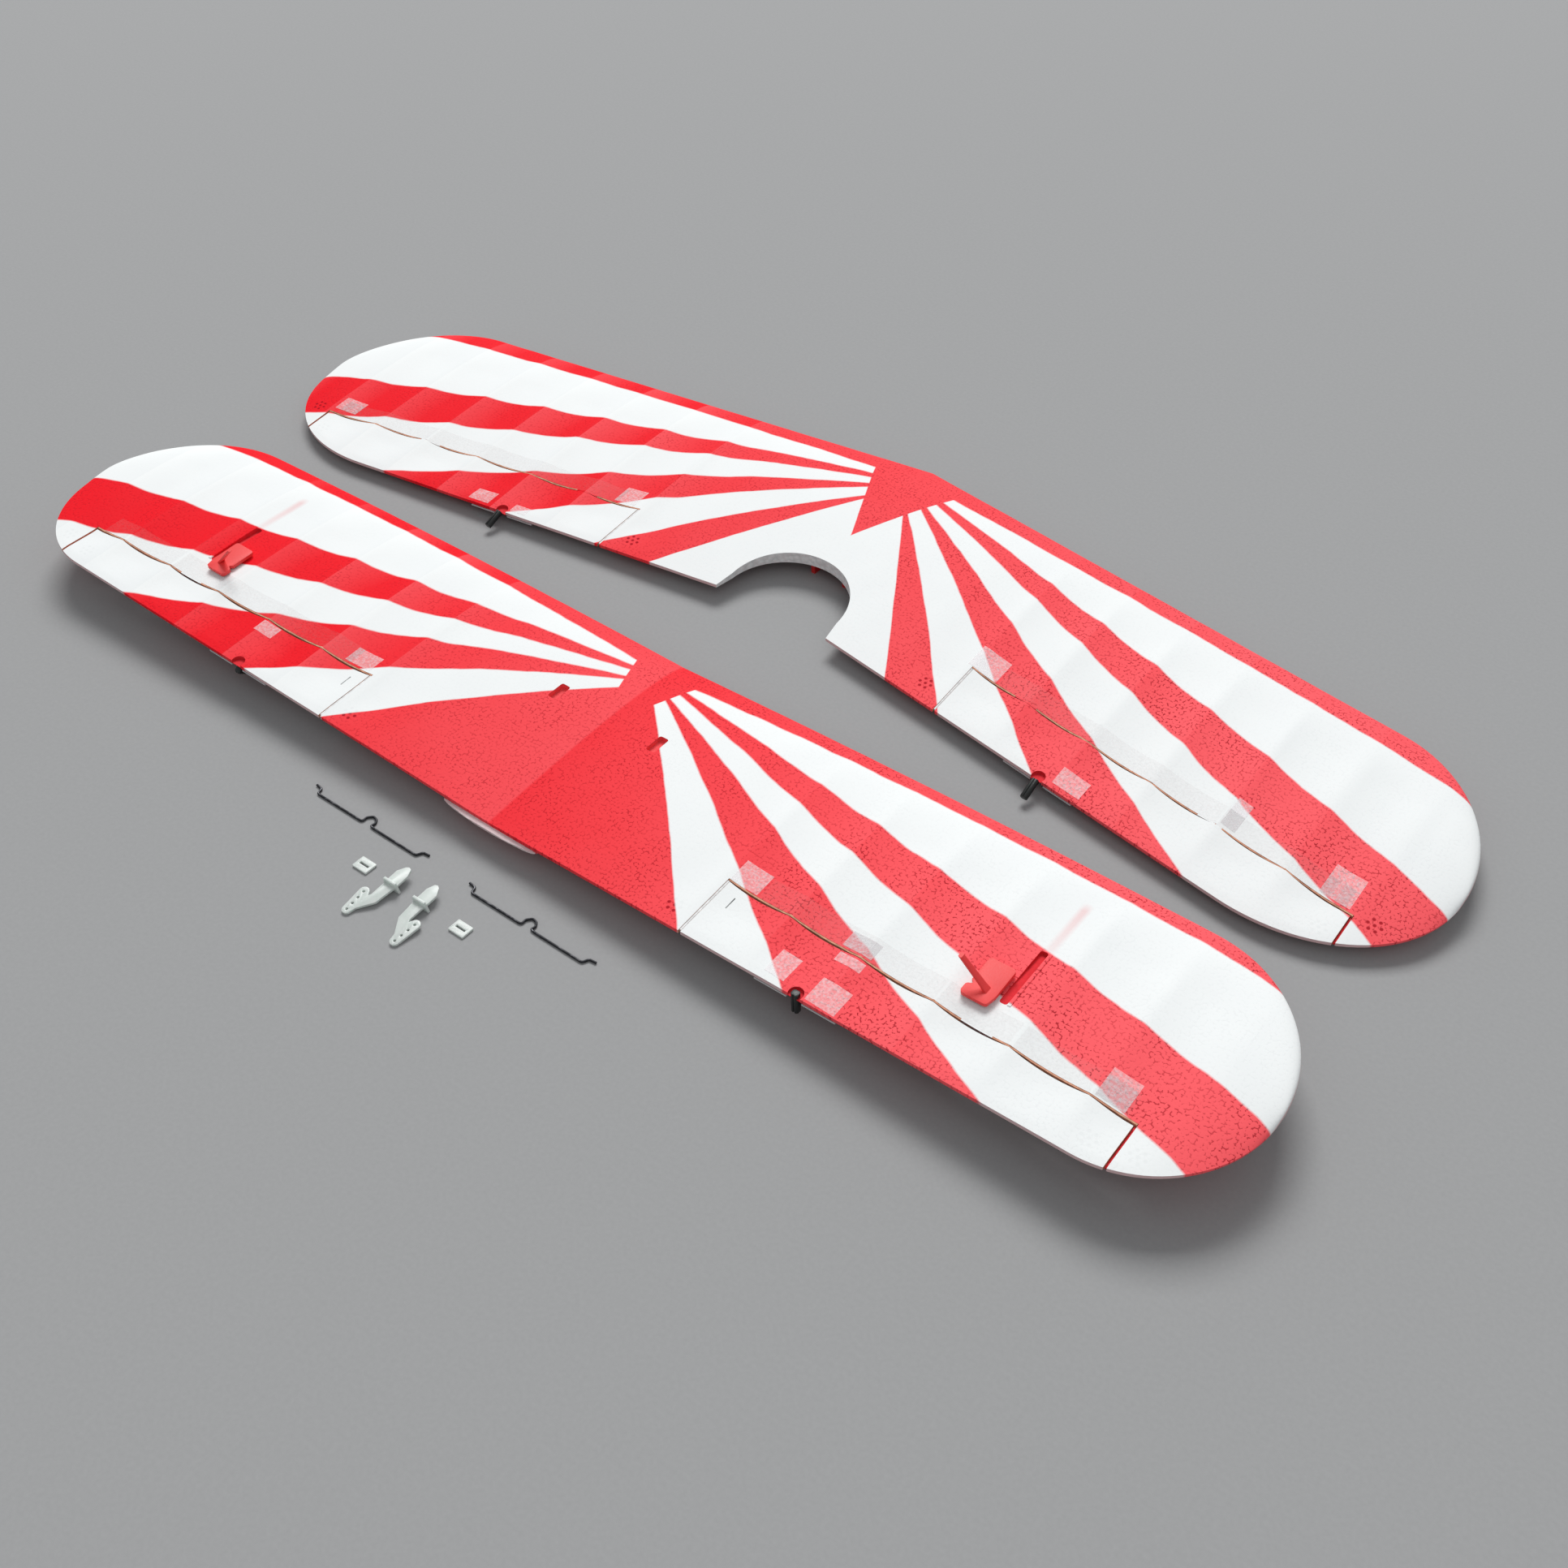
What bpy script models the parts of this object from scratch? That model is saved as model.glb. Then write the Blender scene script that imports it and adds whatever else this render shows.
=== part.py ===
"""Wing set of a small foam sport biplane, laid out flat on a table.

Two moulded foam wings with taped-on ailerons, their plastic fittings, and the loose
aileron hardware: two wire pushrods, two control horns and two horn backplates.

World frame: metres, +Z up, +X along the span to the right wing tips, +Y towards the
leading edges.  The origin is on the table, under the middle of the whole layout.
Each wing has a frame of its own, an empty at the middle of its trailing edge line.
"""

import math

import bmesh
import bpy
from mathutils import Vector

MM = 0.001
SHARP_ANGLE = math.radians(35.0)     # edges sharper than this stay crisp when shaded

# ---------------------------------------------------------------- driving dimensions, mm

GAP = 0.3                        # clearance between pieces that rest on each other
LAYOUT_CENTRE = (1.1, 83.5)      # middle of the layout, seen from the lower wing's frame

# Foam section, as heights above and below the chord plane
CREST = 4.2
BELLY = 1.6
EDGE_HALF = 0.5                  # half the thickness of the blunt trailing edge
SECTION_STEPS = 12               # points along each side of the section
SPAN_STEPS = 16                  # evenly spaced stations from the middle to the tip's rounding
TIP_STEPS = 8                    # stations round the tip
TIP_LAST = math.radians(86.0)    # the last of them, just short of the tip's point

LOWER = {
    "half_span": 216.0, "tip_y": 35.0, "dihedral": math.radians(2.0),
    "trailing": (-1.2, 0.0, 0.0), "leading": (82.0, 0.0, 4.2 / 175.0 ** 2),
    "trailing_round_x": 182.0, "leading_round_x": 178.0,
    "aileron_x": (67.7, 191.0), "hinge_y": (19.3, 14.0), "link_x": 104.8,
}
UPPER = {
    "half_span": 220.3, "tip_y": 32.0, "dihedral": 0.0,
    "trailing": (19.8, 0.150, 0.0), "leading": (105.9, 0.1413, 0.0),
    "trailing_round_x": 168.0, "leading_round_x": 182.0,
    "aileron_x": (66.8, 199.8), "hinge_y": (30.3, 9.3), "link_x": 106.7,
}

# Each outline edge is y = start - slope * |x| - bow * |x| ** 2, then a quarter ellipse at the tip

LOWER_HEIGHT = 7.5               # chord plane of the lower wing above the table, at the middle
UPPER_PLACE = (0.7, 105.3, 4.33)
UPPER_PITCH = math.radians(3.1)
UPPER_YAW = math.radians(-0.72)

# Ailerons
HINGE_GAP = 0.6
END_GAP = 0.8
FRONT_BEVEL = math.radians(30.0)
FRONT_DEPTH = 8.0                # the bevel's reach above and below the hinge line

# Cutters run well past the foam on every side
CUT_LOW = -15.0
CUT_HIGH = 25.0
CUT_BEHIND = -40.0

# Pilot's cut-out in the upper wing's trailing edge
CUTOUT_RADIUS = 21.0
CUTOUT_Y = 23.5
CUTOUT_MOUTH = 22.1
CUTOUT_CORNER_Y = 16.0
CUTOUT_STEPS = 24

# Slots moulded in the lower wing
STRUT_SLOT = {"x": 147.6, "y": (25.5, 45.0), "width": 2.2, "depth": 1.5}
CABANE_SLOT = {"x": 18.9, "y": (44.2, 50.8), "width": 3.2, "depth": 1.6}
HORN_SLIT = {"x": 73.0, "y": (11.5, 15.5), "width": 1.0}

# Aileron link: a thin strip under the trailing edge, and a grooved socket in the notch
STRIP_HALF_LENGTH = 12.5
STRIP_THICK = 0.45
STRIP_REAR = 0.0                 # strip edges, from the trailing edge
STRIP_FRONT = 4.0
STRIP_NECK = 3.1                 # what is left ahead of the notch
STRIP_SEAT_Y = 2.4               # the skin's height here sets the strip's
SOCKET_WIDTH = 2.2
SOCKET_DEPTH = 2.0
SOCKET_LENGTH = 6.5
SOCKET_GROOVE = (0.5, 0.5)       # width and depth
SOCKET_TOP = 1.0                 # above the chord plane
# How far each socket leans, positive tucking it under the aileron, how far it stands behind
# the trailing edge, and how far it is dropped
SOCKET_POSES = {
    ("lower", "left"): (math.radians(55.0), -0.8, 2.7), ("lower", "right"): (0.0, -0.8, 0.0),
    ("upper", "left"): (math.radians(-70.0), 1.3, 0.0),
    ("upper", "right"): (math.radians(-70.0), 1.3, 0.0),
}
NOTCH_RADIUS = 2.1
NOTCH_SET_IN = 0.9

# Strut plate on the lower wing, and the tab that leans inboard from it
PLATE_THICK = 0.8
PLATE_X = (138.2, 145.9)
PLATE_Y = (21.6, 34.7)
PLATE_STEP_Y = 25.0
PLATE_LOBE_X = (137.6, 145.4)
PLATE_CORNER = 1.0
PLATE_LOBE_CORNER = 0.9
PLATE_STEP = ((0.0, 1.4), (0.9, 0.6), (0.2, 0.0))    # inboard step, from (PLATE_X[0], PLATE_STEP_Y)
# Shares of the tab's length and of its width; it flares at the foot
TAB_TAPER = ((-0.02, 1.35), (0.2, 1.05), (0.5, 0.95), (1.0, 0.8))
TAB_FOOT = (143.4, 25.6)
TAB_RISE = 8.5
TAB_LEAN = 7.8
TAB_SIZE = (1.8, 1.0)

# Belly fairing under the middle of the lower wing
BELLY_HALF_WIDTH = 17.4
BELLY_Y = (-2.7, 76.0)
BELLY_STERN_Y = 15.0             # the bottom rises behind this
BELLY_STERN_RISE = 6.1
BELLY_BOW_Y = 64.0               # and rises and narrows ahead of this
BELLY_BOW_RISE = 3.4
BELLY_BOW_NARROWING = 0.25
BELLY_LIP = 0.3                  # top of the lip, where it leaves the trailing edge
BELLY_LIP_FALL = 0.5             # and how far it has fallen at the lip's end
BELLY_LIP_STEPS = (0.0, 0.4, 0.8)    # stations from the lip's end
BELLY_SEAM_STEP = 0.05           # the step up under the wing happens within this
BELLY_MID_STATIONS = (4.0, 9.0, 15.0, 30.0, 48.0, 64.0, 71.0)
BELLY_TURNS = 12                 # points round the hull
BELLY_STERN_CURVE = 2.2          # how late the stern starts to rise
BELLY_LEAST_WIDTH = 0.12         # squared share of the width left at the lip's end
BELLY_FULLNESS = (1.12, 0.75)    # depth past the flat bottom, and how square the hull is

# Cabane mount under the middle of the upper wing
CABANE_HALF_WIDTH = 7.0
CABANE_Y = (46.5, 78.0)
CABANE_PLATE = 1.2
CABANE_FIN = 1.4
CABANE_STEPS = 4                 # places along it where the skin's height is looked up

# Loose hardware, placed from the middle of the lower wing's trailing edge
WIRE_RADIUS = 0.35
WIRE_BEND = 0.9
BEND_SHARE = 0.45                # most of a straight run that a bend may use up
ROD_HALF = 20.1
ROD_PLACES = (("left", -32.9, -17.4), ("right", 29.2, -18.1))
HORN_THICK = 1.0
HORN_FLANGE = (3.0, 0.4, 1.8)    # half sizes across, along and through the horn
HORN_HOLE_RADIUS = 0.42
HORN_ARM_END = 14.1              # from the flange to the end of the arm
HORN_HOLES = 4
HORN_FIRST_HOLE = (-3.6, -12.7)
HORN_LAST_HOLE = (-4.2, -6.0)
HORN_PLACES = (("left", -8.9, -30.0, 1), ("right", 2.3, -30.0, -1))
BACKPLATE_SIZE = (5.4, 4.2, 0.7)
BACKPLATE_SLOT = (3.4, 0.7)
SMALL_CUT = 2.0                  # half height of the cutters for small holes
BACKPLATE_PLACES = (("left", -21.2, -28.6), ("right", 16.2, -29.0))

# ---------------------------------------------------------------- materials

FINISHES = {
    "white_foam": ((0.90, 0.91, 0.91), 0.62),
    "red_foam": ((0.85, 0.05, 0.05), 0.50),
    "red_plastic": ((0.80, 0.04, 0.03), 0.42),
    "black_plastic": ((0.02, 0.022, 0.02), 0.45),
    "clear_strip": ((0.62, 0.60, 0.60), 0.40),
    "white_nylon": ((0.84, 0.86, 0.84), 0.40),
    "black_wire": ((0.05, 0.05, 0.055), 0.38),
}
METALLIC = {"black_wire": 0.8}


def finish(piece_name, kind):
    """A material of the piece's own, in one of the set's finishes."""
    colour, roughness = FINISHES[kind]
    material = bpy.data.materials.new(f"{piece_name}_{kind}")
    material.use_nodes = True
    shader = material.node_tree.nodes["Principled BSDF"]
    shader.inputs["Base Color"].default_value = (*colour, 1.0)
    shader.inputs["Roughness"].default_value = roughness
    shader.inputs["Metallic"].default_value = METALLIC.get(kind, 0.0)
    material.diffuse_color = (*colour, 1.0)
    return material


# ---------------------------------------------------------------- scene helpers

def clear_scene():
    for item in list(bpy.data.objects):
        bpy.data.objects.remove(item, do_unlink=True)


def add_empty(name, place, rotation=(0.0, 0.0, 0.0), parent=None):
    """An empty at a place in mm, as the frame of what is parented to it."""
    empty = bpy.data.objects.new(name, None)
    empty.location = Vector(place) * MM
    empty.rotation_euler = rotation
    empty.parent = parent
    bpy.context.collection.objects.link(empty)
    return empty


def add_piece(name, mesh_data, kind, parent, place=(0.0, 0.0, 0.0), rotation=(0.0, 0.0, 0.0)):
    """Link a bmesh in mm as one named piece; place is in its parent's frame."""
    bmesh.ops.scale(mesh_data, vec=(MM, MM, MM), verts=mesh_data.verts)
    bmesh.ops.recalc_face_normals(mesh_data, faces=mesh_data.faces)
    mesh = bpy.data.meshes.new(name)
    mesh_data.to_mesh(mesh)
    mesh_data.free()
    mesh.shade_smooth()
    mesh.set_sharp_from_angle(angle=SHARP_ANGLE)
    piece = bpy.data.objects.new(name, mesh)
    piece.location = Vector(place) * MM
    piece.rotation_euler = rotation
    piece.parent = parent
    bpy.context.collection.objects.link(piece)
    if kind is not None:
        mesh.materials.append(finish(name, kind))
    return piece


def as_cutter(piece):
    piece.hide_render = True
    piece.display_type = "WIRE"
    return piece


def boolean(piece, other, operation="DIFFERENCE"):
    """Cut, join or keep with an exact Boolean that stays on the piece."""
    modifier = piece.modifiers.new(operation.title(), "BOOLEAN")
    modifier.solver = "EXACT"
    modifier.operation = operation
    modifier.object = as_cutter(other)


# ---------------------------------------------------------------- shape helpers

def prism(outline, low, high):
    """A plan outline (x, y) raised from z = low to z = high."""
    solid = bmesh.new()
    base = [solid.verts.new((x, y, low)) for x, y in outline]
    face = solid.faces.new(base)
    raised = bmesh.ops.extrude_face_region(solid, geom=[face])
    tops = [item for item in raised["geom"] if isinstance(item, bmesh.types.BMVert)]
    bmesh.ops.translate(solid, vec=(0.0, 0.0, high - low), verts=tops)
    return solid


def block(x, y, z):
    """A box from three (low, high) pairs."""
    outline = [(x[0], y[0]), (x[1], y[0]), (x[1], y[1]), (x[0], y[1])]
    return prism(outline, z[0], z[1])


def drum(x, y, radius, low, high, segments=24):
    """An upright cylinder."""
    outline = [
        (x + radius * math.cos(turn), y + radius * math.sin(turn))
        for turn in (2.0 * math.pi * step / segments for step in range(segments))
    ]
    return prism(outline, low, high)


def arc(centre, radius, start, stop, steps=6):
    """Points of an arc, angles in degrees."""
    points = []
    for step in range(steps + 1):
        turn = math.radians(start + (stop - start) * step / steps)
        points.append((centre[0] + radius * math.cos(turn), centre[1] + radius * math.sin(turn)))
    return points


def loft(loops):
    """Skin closed loops of equal length and cap both ends."""
    solid = bmesh.new()
    rows = [[solid.verts.new(point) for point in loop] for loop in loops]
    count = len(rows[0])
    for row, following in zip(rows, rows[1:]):
        for index in range(count):
            after = (index + 1) % count
            solid.faces.new((row[index], row[after], following[after], following[index]))
    solid.faces.new(rows[0][::-1])
    solid.faces.new(rows[-1])
    return solid


def mirrored(x, side):
    return x if side > 0 else -x


# ---------------------------------------------------------------- wing geometry

def edge(plan, which, x):
    """Y of the leading or trailing edge at span position x."""
    start_y, slope, bow = plan[which]
    span = abs(x)
    line = start_y - slope * span - bow * span ** 2
    round_x = plan[f"{which}_round_x"]
    if span <= round_x:
        return line
    tip = plan["half_span"]
    drop = (start_y - slope * tip - bow * tip ** 2) - plan["tip_y"]
    along = min((span - round_x) / (tip - round_x), 1.0)
    return line - drop * (1.0 - math.sqrt(1.0 - along ** 2))


def section_half(along):
    """Half thickness of a four-digit section, 1 at its thickest, along the chord 0 to 1."""
    root = 1.4845 * math.sqrt(along)
    return 2.0 * (root - 0.63 * along - 1.758 * along ** 2 + 1.4215 * along ** 3 - 0.5075 * along ** 4)


def thinning(plan, x):
    """How much thinner the section is at x than at the root."""
    chord = edge(plan, "leading", x) - edge(plan, "trailing", x)
    root = edge(plan, "leading", 0.0) - edge(plan, "trailing", 0.0)
    return math.sqrt(chord / root)


def skin_height(plan, x, y, side=1):
    """Z of the upper (side 1) or lower (side -1) skin in the wing's frame."""
    leading = edge(plan, "leading", x)
    chord = leading - edge(plan, "trailing", x)
    along = min(max((leading - y) / chord, 0.0), 1.0)
    depth = CREST if side > 0 else BELLY
    height = thinning(plan, x) * (depth * section_half(along) + EDGE_HALF * along)
    return side * height + abs(x) * math.tan(plan["dihedral"])


def span_stations(plan):
    """Span positions, evenly spaced inboard and closing up round the tip."""
    inner = min(plan["trailing_round_x"], plan["leading_round_x"])
    half = [inner * step / SPAN_STEPS for step in range(SPAN_STEPS)]
    for step in range(TIP_STEPS):
        angle = TIP_LAST * step / (TIP_STEPS - 1)
        half.append(inner + (plan["half_span"] - inner) * math.sin(angle))
    return [-x for x in reversed(half[1:])] + half


def wing_blank(plan):
    """The whole wing as one foam slab, before anything is cut from it."""
    loops = []
    for x in span_stations(plan):
        leading = edge(plan, "leading", x)
        chord = leading - edge(plan, "trailing", x)
        loop = []
        for step in range(SECTION_STEPS + 1):
            along = 0.5 * (1.0 + math.cos(math.pi * step / SECTION_STEPS))
            y = leading - chord * along
            loop.append((x, y, skin_height(plan, x, y, 1)))
        for step in range(SECTION_STEPS - 1, -1, -1):
            along = 0.5 * (1.0 + math.cos(math.pi * step / SECTION_STEPS))
            y = leading - chord * along
            loop.append((x, y, skin_height(plan, x, y, -1)))
        loops.append(loop)
    return loft(loops)


def hinge_point(plan, side, end):
    """Inner (end 0) or outer (end 1) end of an aileron's hinge line, on the upper skin."""
    x = plan["aileron_x"][end]
    y = plan["hinge_y"][end]
    return Vector((mirrored(x, side), y, skin_height(plan, x, y)))


def aileron_bay(plan, side):
    """The space in the wing behind the hinge line that the aileron fills."""
    inner, outer = plan["aileron_x"]
    front = HINGE_GAP / 2.0
    y_in, y_out = plan["hinge_y"]
    outline = [
        (mirrored(inner, side), y_in + front),
        (mirrored(outer, side), y_out + front),
        (mirrored(outer, side), CUT_BEHIND),
        (mirrored(inner, side), CUT_BEHIND),
    ]
    return prism(outline, CUT_LOW, CUT_HIGH)


def aileron_core(plan, side):
    """The aileron's own block: a gap all round and a front face that leans back."""
    lean = FRONT_DEPTH * math.tan(FRONT_BEVEL)
    loops = []
    for end, inset in ((0, END_GAP), (1, -END_GAP)):
        x = plan["aileron_x"][end] + inset
        y = plan["hinge_y"][end] - HINGE_GAP / 2.0
        z = skin_height(plan, x, y)
        loops.append([
            (mirrored(x, side), y + lean, z + FRONT_DEPTH),
            (mirrored(x, side), y - lean, z - FRONT_DEPTH),
            (mirrored(x, side), CUT_BEHIND, z - FRONT_DEPTH),
            (mirrored(x, side), CUT_BEHIND, z + FRONT_DEPTH),
        ])
    return loft(loops)


def trailing_notch(plan, side):
    """The round notch in the trailing edge that the link's socket stands in."""
    x = plan["link_x"]
    y = edge(plan, "trailing", x) + NOTCH_SET_IN
    return drum(mirrored(x, side), y, NOTCH_RADIUS, CUT_LOW, CUT_HIGH)


# ---------------------------------------------------------------- foam pieces

def add_ailerons(plan, wing, frame, prefix):
    """Cut both aileron bays from a wing and hang the ailerons on their hinge lines."""
    for side, word in ((-1, "left"), (1, "right")):
        boolean(wing, add_piece(f"{prefix}_bay_{word}", aileron_bay(plan, side), None, frame))
        hinge = hinge_point(plan, side, 0)
        pivot = add_empty(f"{prefix}_hinge_{word}", hinge, parent=frame)
        aileron = add_piece(
            f"{prefix}_aileron_{word}", wing_blank(plan), "white_foam", pivot, place=-hinge
        )
        core = add_piece(f"{prefix}_core_{word}", aileron_core(plan, side), None, frame)
        boolean(aileron, core, "INTERSECT")
        notch = add_piece(f"{prefix}_notch_{word}", trailing_notch(plan, side), None, frame)
        boolean(aileron, notch)
        if plan is LOWER:
            half = HORN_SLIT["width"] / 2.0
            x = mirrored(HORN_SLIT["x"], side)
            slit = block((x - half, x + half), HORN_SLIT["y"], (CUT_LOW, CUT_HIGH))
            boolean(aileron, add_piece(f"{prefix}_slit_{word}", slit, None, frame))
        add_link(plan, side, word, pivot, hinge, prefix)


def add_lower_wing(frame):
    wing = add_piece("lower_wing", wing_blank(LOWER), "white_foam", frame)
    add_ailerons(LOWER, wing, frame, "lower")
    for side, word in ((-1, "left"), (1, "right")):
        for label, slot in (("strut_slot", STRUT_SLOT), ("cabane_slot", CABANE_SLOT)):
            x = mirrored(slot["x"], side)
            half = slot["width"] / 2.0
            middle = sum(slot["y"]) / 2.0
            floor = skin_height(LOWER, x, middle) - slot["depth"]
            cut = block((x - half, x + half), slot["y"], (floor, CUT_HIGH))
            boolean(wing, add_piece(f"{label}_{word}", cut, None, frame))


def add_upper_wing(frame):
    wing = add_piece("upper_wing", wing_blank(UPPER), "white_foam", frame)
    add_ailerons(UPPER, wing, frame, "upper")
    outline = arc((0.0, CUTOUT_Y), CUTOUT_RADIUS, 0.0, 180.0, CUTOUT_STEPS)
    outline += [
        (-CUTOUT_MOUTH, CUTOUT_CORNER_Y), (-CUTOUT_MOUTH, 0.0),
        (CUTOUT_MOUTH, 0.0), (CUTOUT_MOUTH, CUTOUT_CORNER_Y),
    ]
    boolean(wing, add_piece("pilot_cutout", prism(outline, CUT_LOW, CUT_HIGH), None, frame))


def add_belly_fairing(frame):
    """Boat-shaped fairing whose rear lip reaches past the trailing edge."""
    first, last = BELLY_Y
    trailing = edge(LOWER, "trailing", 0.0)
    seam = trailing - GAP
    floor = -LOWER_HEIGHT
    past, square = BELLY_FULLNESS
    stations = [first + step for step in BELLY_LIP_STEPS]
    stations += [seam - BELLY_SEAM_STEP, seam, *BELLY_MID_STATIONS, last]
    loops = []
    for y in stations:
        behind = max(trailing - y, 0.0) / (trailing - first)
        half = BELLY_HALF_WIDTH * math.sqrt(max(1.0 - behind ** 2, BELLY_LEAST_WIDTH))
        ahead = max(y - BELLY_BOW_Y, 0.0) / (last - BELLY_BOW_Y)
        half *= 1.0 - BELLY_BOW_NARROWING * ahead ** 2
        if y < seam:
            top = BELLY_LIP - BELLY_LIP_FALL * behind
        else:
            top = skin_height(LOWER, 0.0, y, -1) - GAP
        rise = max(BELLY_STERN_Y - y, 0.0) / (BELLY_STERN_Y - first)
        bottom = floor + BELLY_STERN_RISE * rise ** BELLY_STERN_CURVE + BELLY_BOW_RISE * ahead ** 2
        loop = [(half, y, top), (-half, y, top)]
        for step in range(1, BELLY_TURNS):
            turn = math.pi * step / BELLY_TURNS
            x = -half * math.cos(turn)
            z = top - (top - bottom) * past * math.sin(turn) ** square
            loop.append((x, y, max(z, bottom)))
        loops.append(loop)
    add_piece("belly_fairing", loft(loops), "red_foam", frame)


# ---------------------------------------------------------------- fittings

def add_link(plan, side, word, pivot, hinge, prefix):
    """The strip under an aileron's trailing edge, and the socket that stands in the notch."""
    x = plan["link_x"]
    y = edge(plan, "trailing", x)
    slope = -(edge(plan, "trailing", x + 1.0) - edge(plan, "trailing", x - 1.0)) / 2.0
    yaw = -mirrored(math.atan(slope), side)
    roll = -mirrored(plan["dihedral"], side)
    under = skin_height(plan, x, y + STRIP_SEAT_Y, -1) - GAP
    foot = Vector((mirrored(x, side), y, under)) - hinge
    reach = STRIP_HALF_LENGTH
    room = NOTCH_RADIUS + GAP
    outline = [
        (-reach, STRIP_REAR), (-room, STRIP_REAR), (-room, STRIP_NECK), (room, STRIP_NECK),
        (room, STRIP_REAR), (reach, STRIP_REAR), (reach, STRIP_FRONT), (-reach, STRIP_FRONT),
    ]
    strip = prism(outline, -STRIP_THICK, 0.0)
    add_piece(f"{prefix}_link_strip_{word}", strip, "clear_strip", pivot, foot, (0.0, roll, yaw))

    half = SOCKET_WIDTH / 2.0
    deep = SOCKET_DEPTH / 2.0
    groove = SOCKET_GROOVE[0] / 2.0
    floor = -deep + SOCKET_GROOVE[1]
    outline = [
        (-half, -deep), (-groove, -deep), (-groove, floor), (groove, floor),
        (groove, -deep), (half, -deep), (half, deep), (-half, deep),
    ]
    socket = prism(outline, SOCKET_TOP - SOCKET_LENGTH, SOCKET_TOP)
    # The sockets point straight back, whatever the sweep of the edge
    lean, behind, drop = SOCKET_POSES[(prefix, word)]
    height = abs(x) * math.tan(plan["dihedral"]) - drop
    place = foot + Vector((0.0, -behind, height - under))
    add_piece(f"{prefix}_link_socket_{word}", socket, "black_plastic", pivot, place, (lean, roll, 0.0))


def add_strut_plate(frame, side, word):
    """Plate beside the strut slot, with the thin tab that leans inboard from it."""
    x_low, x_high = PLATE_X
    lobe_low, lobe_high = PLATE_LOBE_X
    y_low, y_high = PLATE_Y
    corner = PLATE_CORNER
    outline = arc((x_high - corner, y_high - corner), corner, 0.0, 90.0, 3)
    outline += arc((x_low + corner, y_high - corner), corner, 90.0, 180.0, 3)
    outline += [(x_low + x, PLATE_STEP_Y + y) for x, y in PLATE_STEP]
    lobe_corner = PLATE_LOBE_CORNER
    outline += arc((lobe_low + corner, PLATE_STEP_Y - lobe_corner), lobe_corner, 90.0, 180.0, 2)
    outline += arc((lobe_low + corner, y_low + corner), corner, 180.0, 270.0, 3)
    outline += arc((lobe_high - corner, y_low + corner), corner, 270.0, 360.0, 3)
    outline += [(x_high, PLATE_STEP_Y)]
    centre = ((x_low + x_high) / 2.0, (y_low + y_high) / 2.0)
    flat = [(mirrored(x - centre[0], side), y - centre[1]) for x, y in outline]
    plate = prism(flat, 0.0, PLATE_THICK)
    front = skin_height(LOWER, centre[0], y_high)
    rear = skin_height(LOWER, centre[0], y_low)
    pitch = math.atan2(front - rear, y_high - y_low)
    roll = -mirrored(LOWER["dihedral"], side)
    lift = skin_height(LOWER, centre[0], centre[1]) + GAP
    place = (mirrored(centre[0], side), centre[1], lift)
    piece = add_piece(f"strut_plate_{word}", plate, "red_plastic", frame, place, (pitch, roll, 0.0))

    foot_x = mirrored(TAB_FOOT[0] - centre[0], side)
    foot_y = TAB_FOOT[1] - centre[1]
    wide, thick = TAB_SIZE
    loops = []
    for share, taper in TAB_TAPER:
        x = foot_x - mirrored(TAB_LEAN, side) * share
        z = PLATE_THICK / 2.0 + TAB_RISE * share
        half = wide * taper / 2.0
        loops.append([
            (x - thick / 2.0, foot_y - half, z), (x + thick / 2.0, foot_y - half, z),
            (x + thick / 2.0, foot_y + half, z), (x - thick / 2.0, foot_y + half, z),
        ])
    tab = add_piece(f"strut_tab_{word}", loft(loops), None, frame, place, (pitch, roll, 0.0))
    boolean(piece, tab, "UNION")


def add_cabane_mount(frame):
    """Plate and two fins under the upper wing; the fins stand on the table."""
    near, far = CABANE_Y
    half = CABANE_HALF_WIDTH

    def table(y):
        return -(UPPER_PLACE[2] + y * math.sin(UPPER_PITCH)) / math.cos(UPPER_PITCH)

    places = [near + (far - near) * step / CABANE_STEPS for step in range(CABANE_STEPS + 1)]
    top = min(skin_height(UPPER, 0.0, y, -1) for y in places) - GAP
    low = top - CABANE_PLATE
    outline = []
    for y in CABANE_Y:
        foot = table(y)
        fin = half - CABANE_FIN
        outline.append([
            (half, y, top), (half, y, foot), (fin, y, foot), (fin, y, low),
            (-fin, y, low), (-fin, y, foot), (-half, y, foot), (-half, y, top),
        ])
    add_piece("cabane_mount", loft(outline), "red_plastic", frame)


# ---------------------------------------------------------------- loose hardware

def rounded_path(corners, radius, steps=4):
    """A polyline in the plane with each inner corner turned into an arc."""
    points = [Vector(corners[0])]
    for before, corner, after in zip(corners, corners[1:], corners[2:]):
        corner = Vector(corner)
        back = (Vector(before) - corner)
        ahead = (Vector(after) - corner)
        turn = back.angle(ahead)
        reach = radius / math.tan(turn / 2.0)
        reach = min(reach, BEND_SHARE * back.length, BEND_SHARE * ahead.length)
        start = corner + back.normalized() * reach
        stop = corner + ahead.normalized() * reach
        for step in range(steps + 1):
            share = step / steps
            first = start.lerp(corner, share)
            second = corner.lerp(stop, share)
            points.append(first.lerp(second, share))
    points.append(Vector(corners[-1]))
    return points


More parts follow.
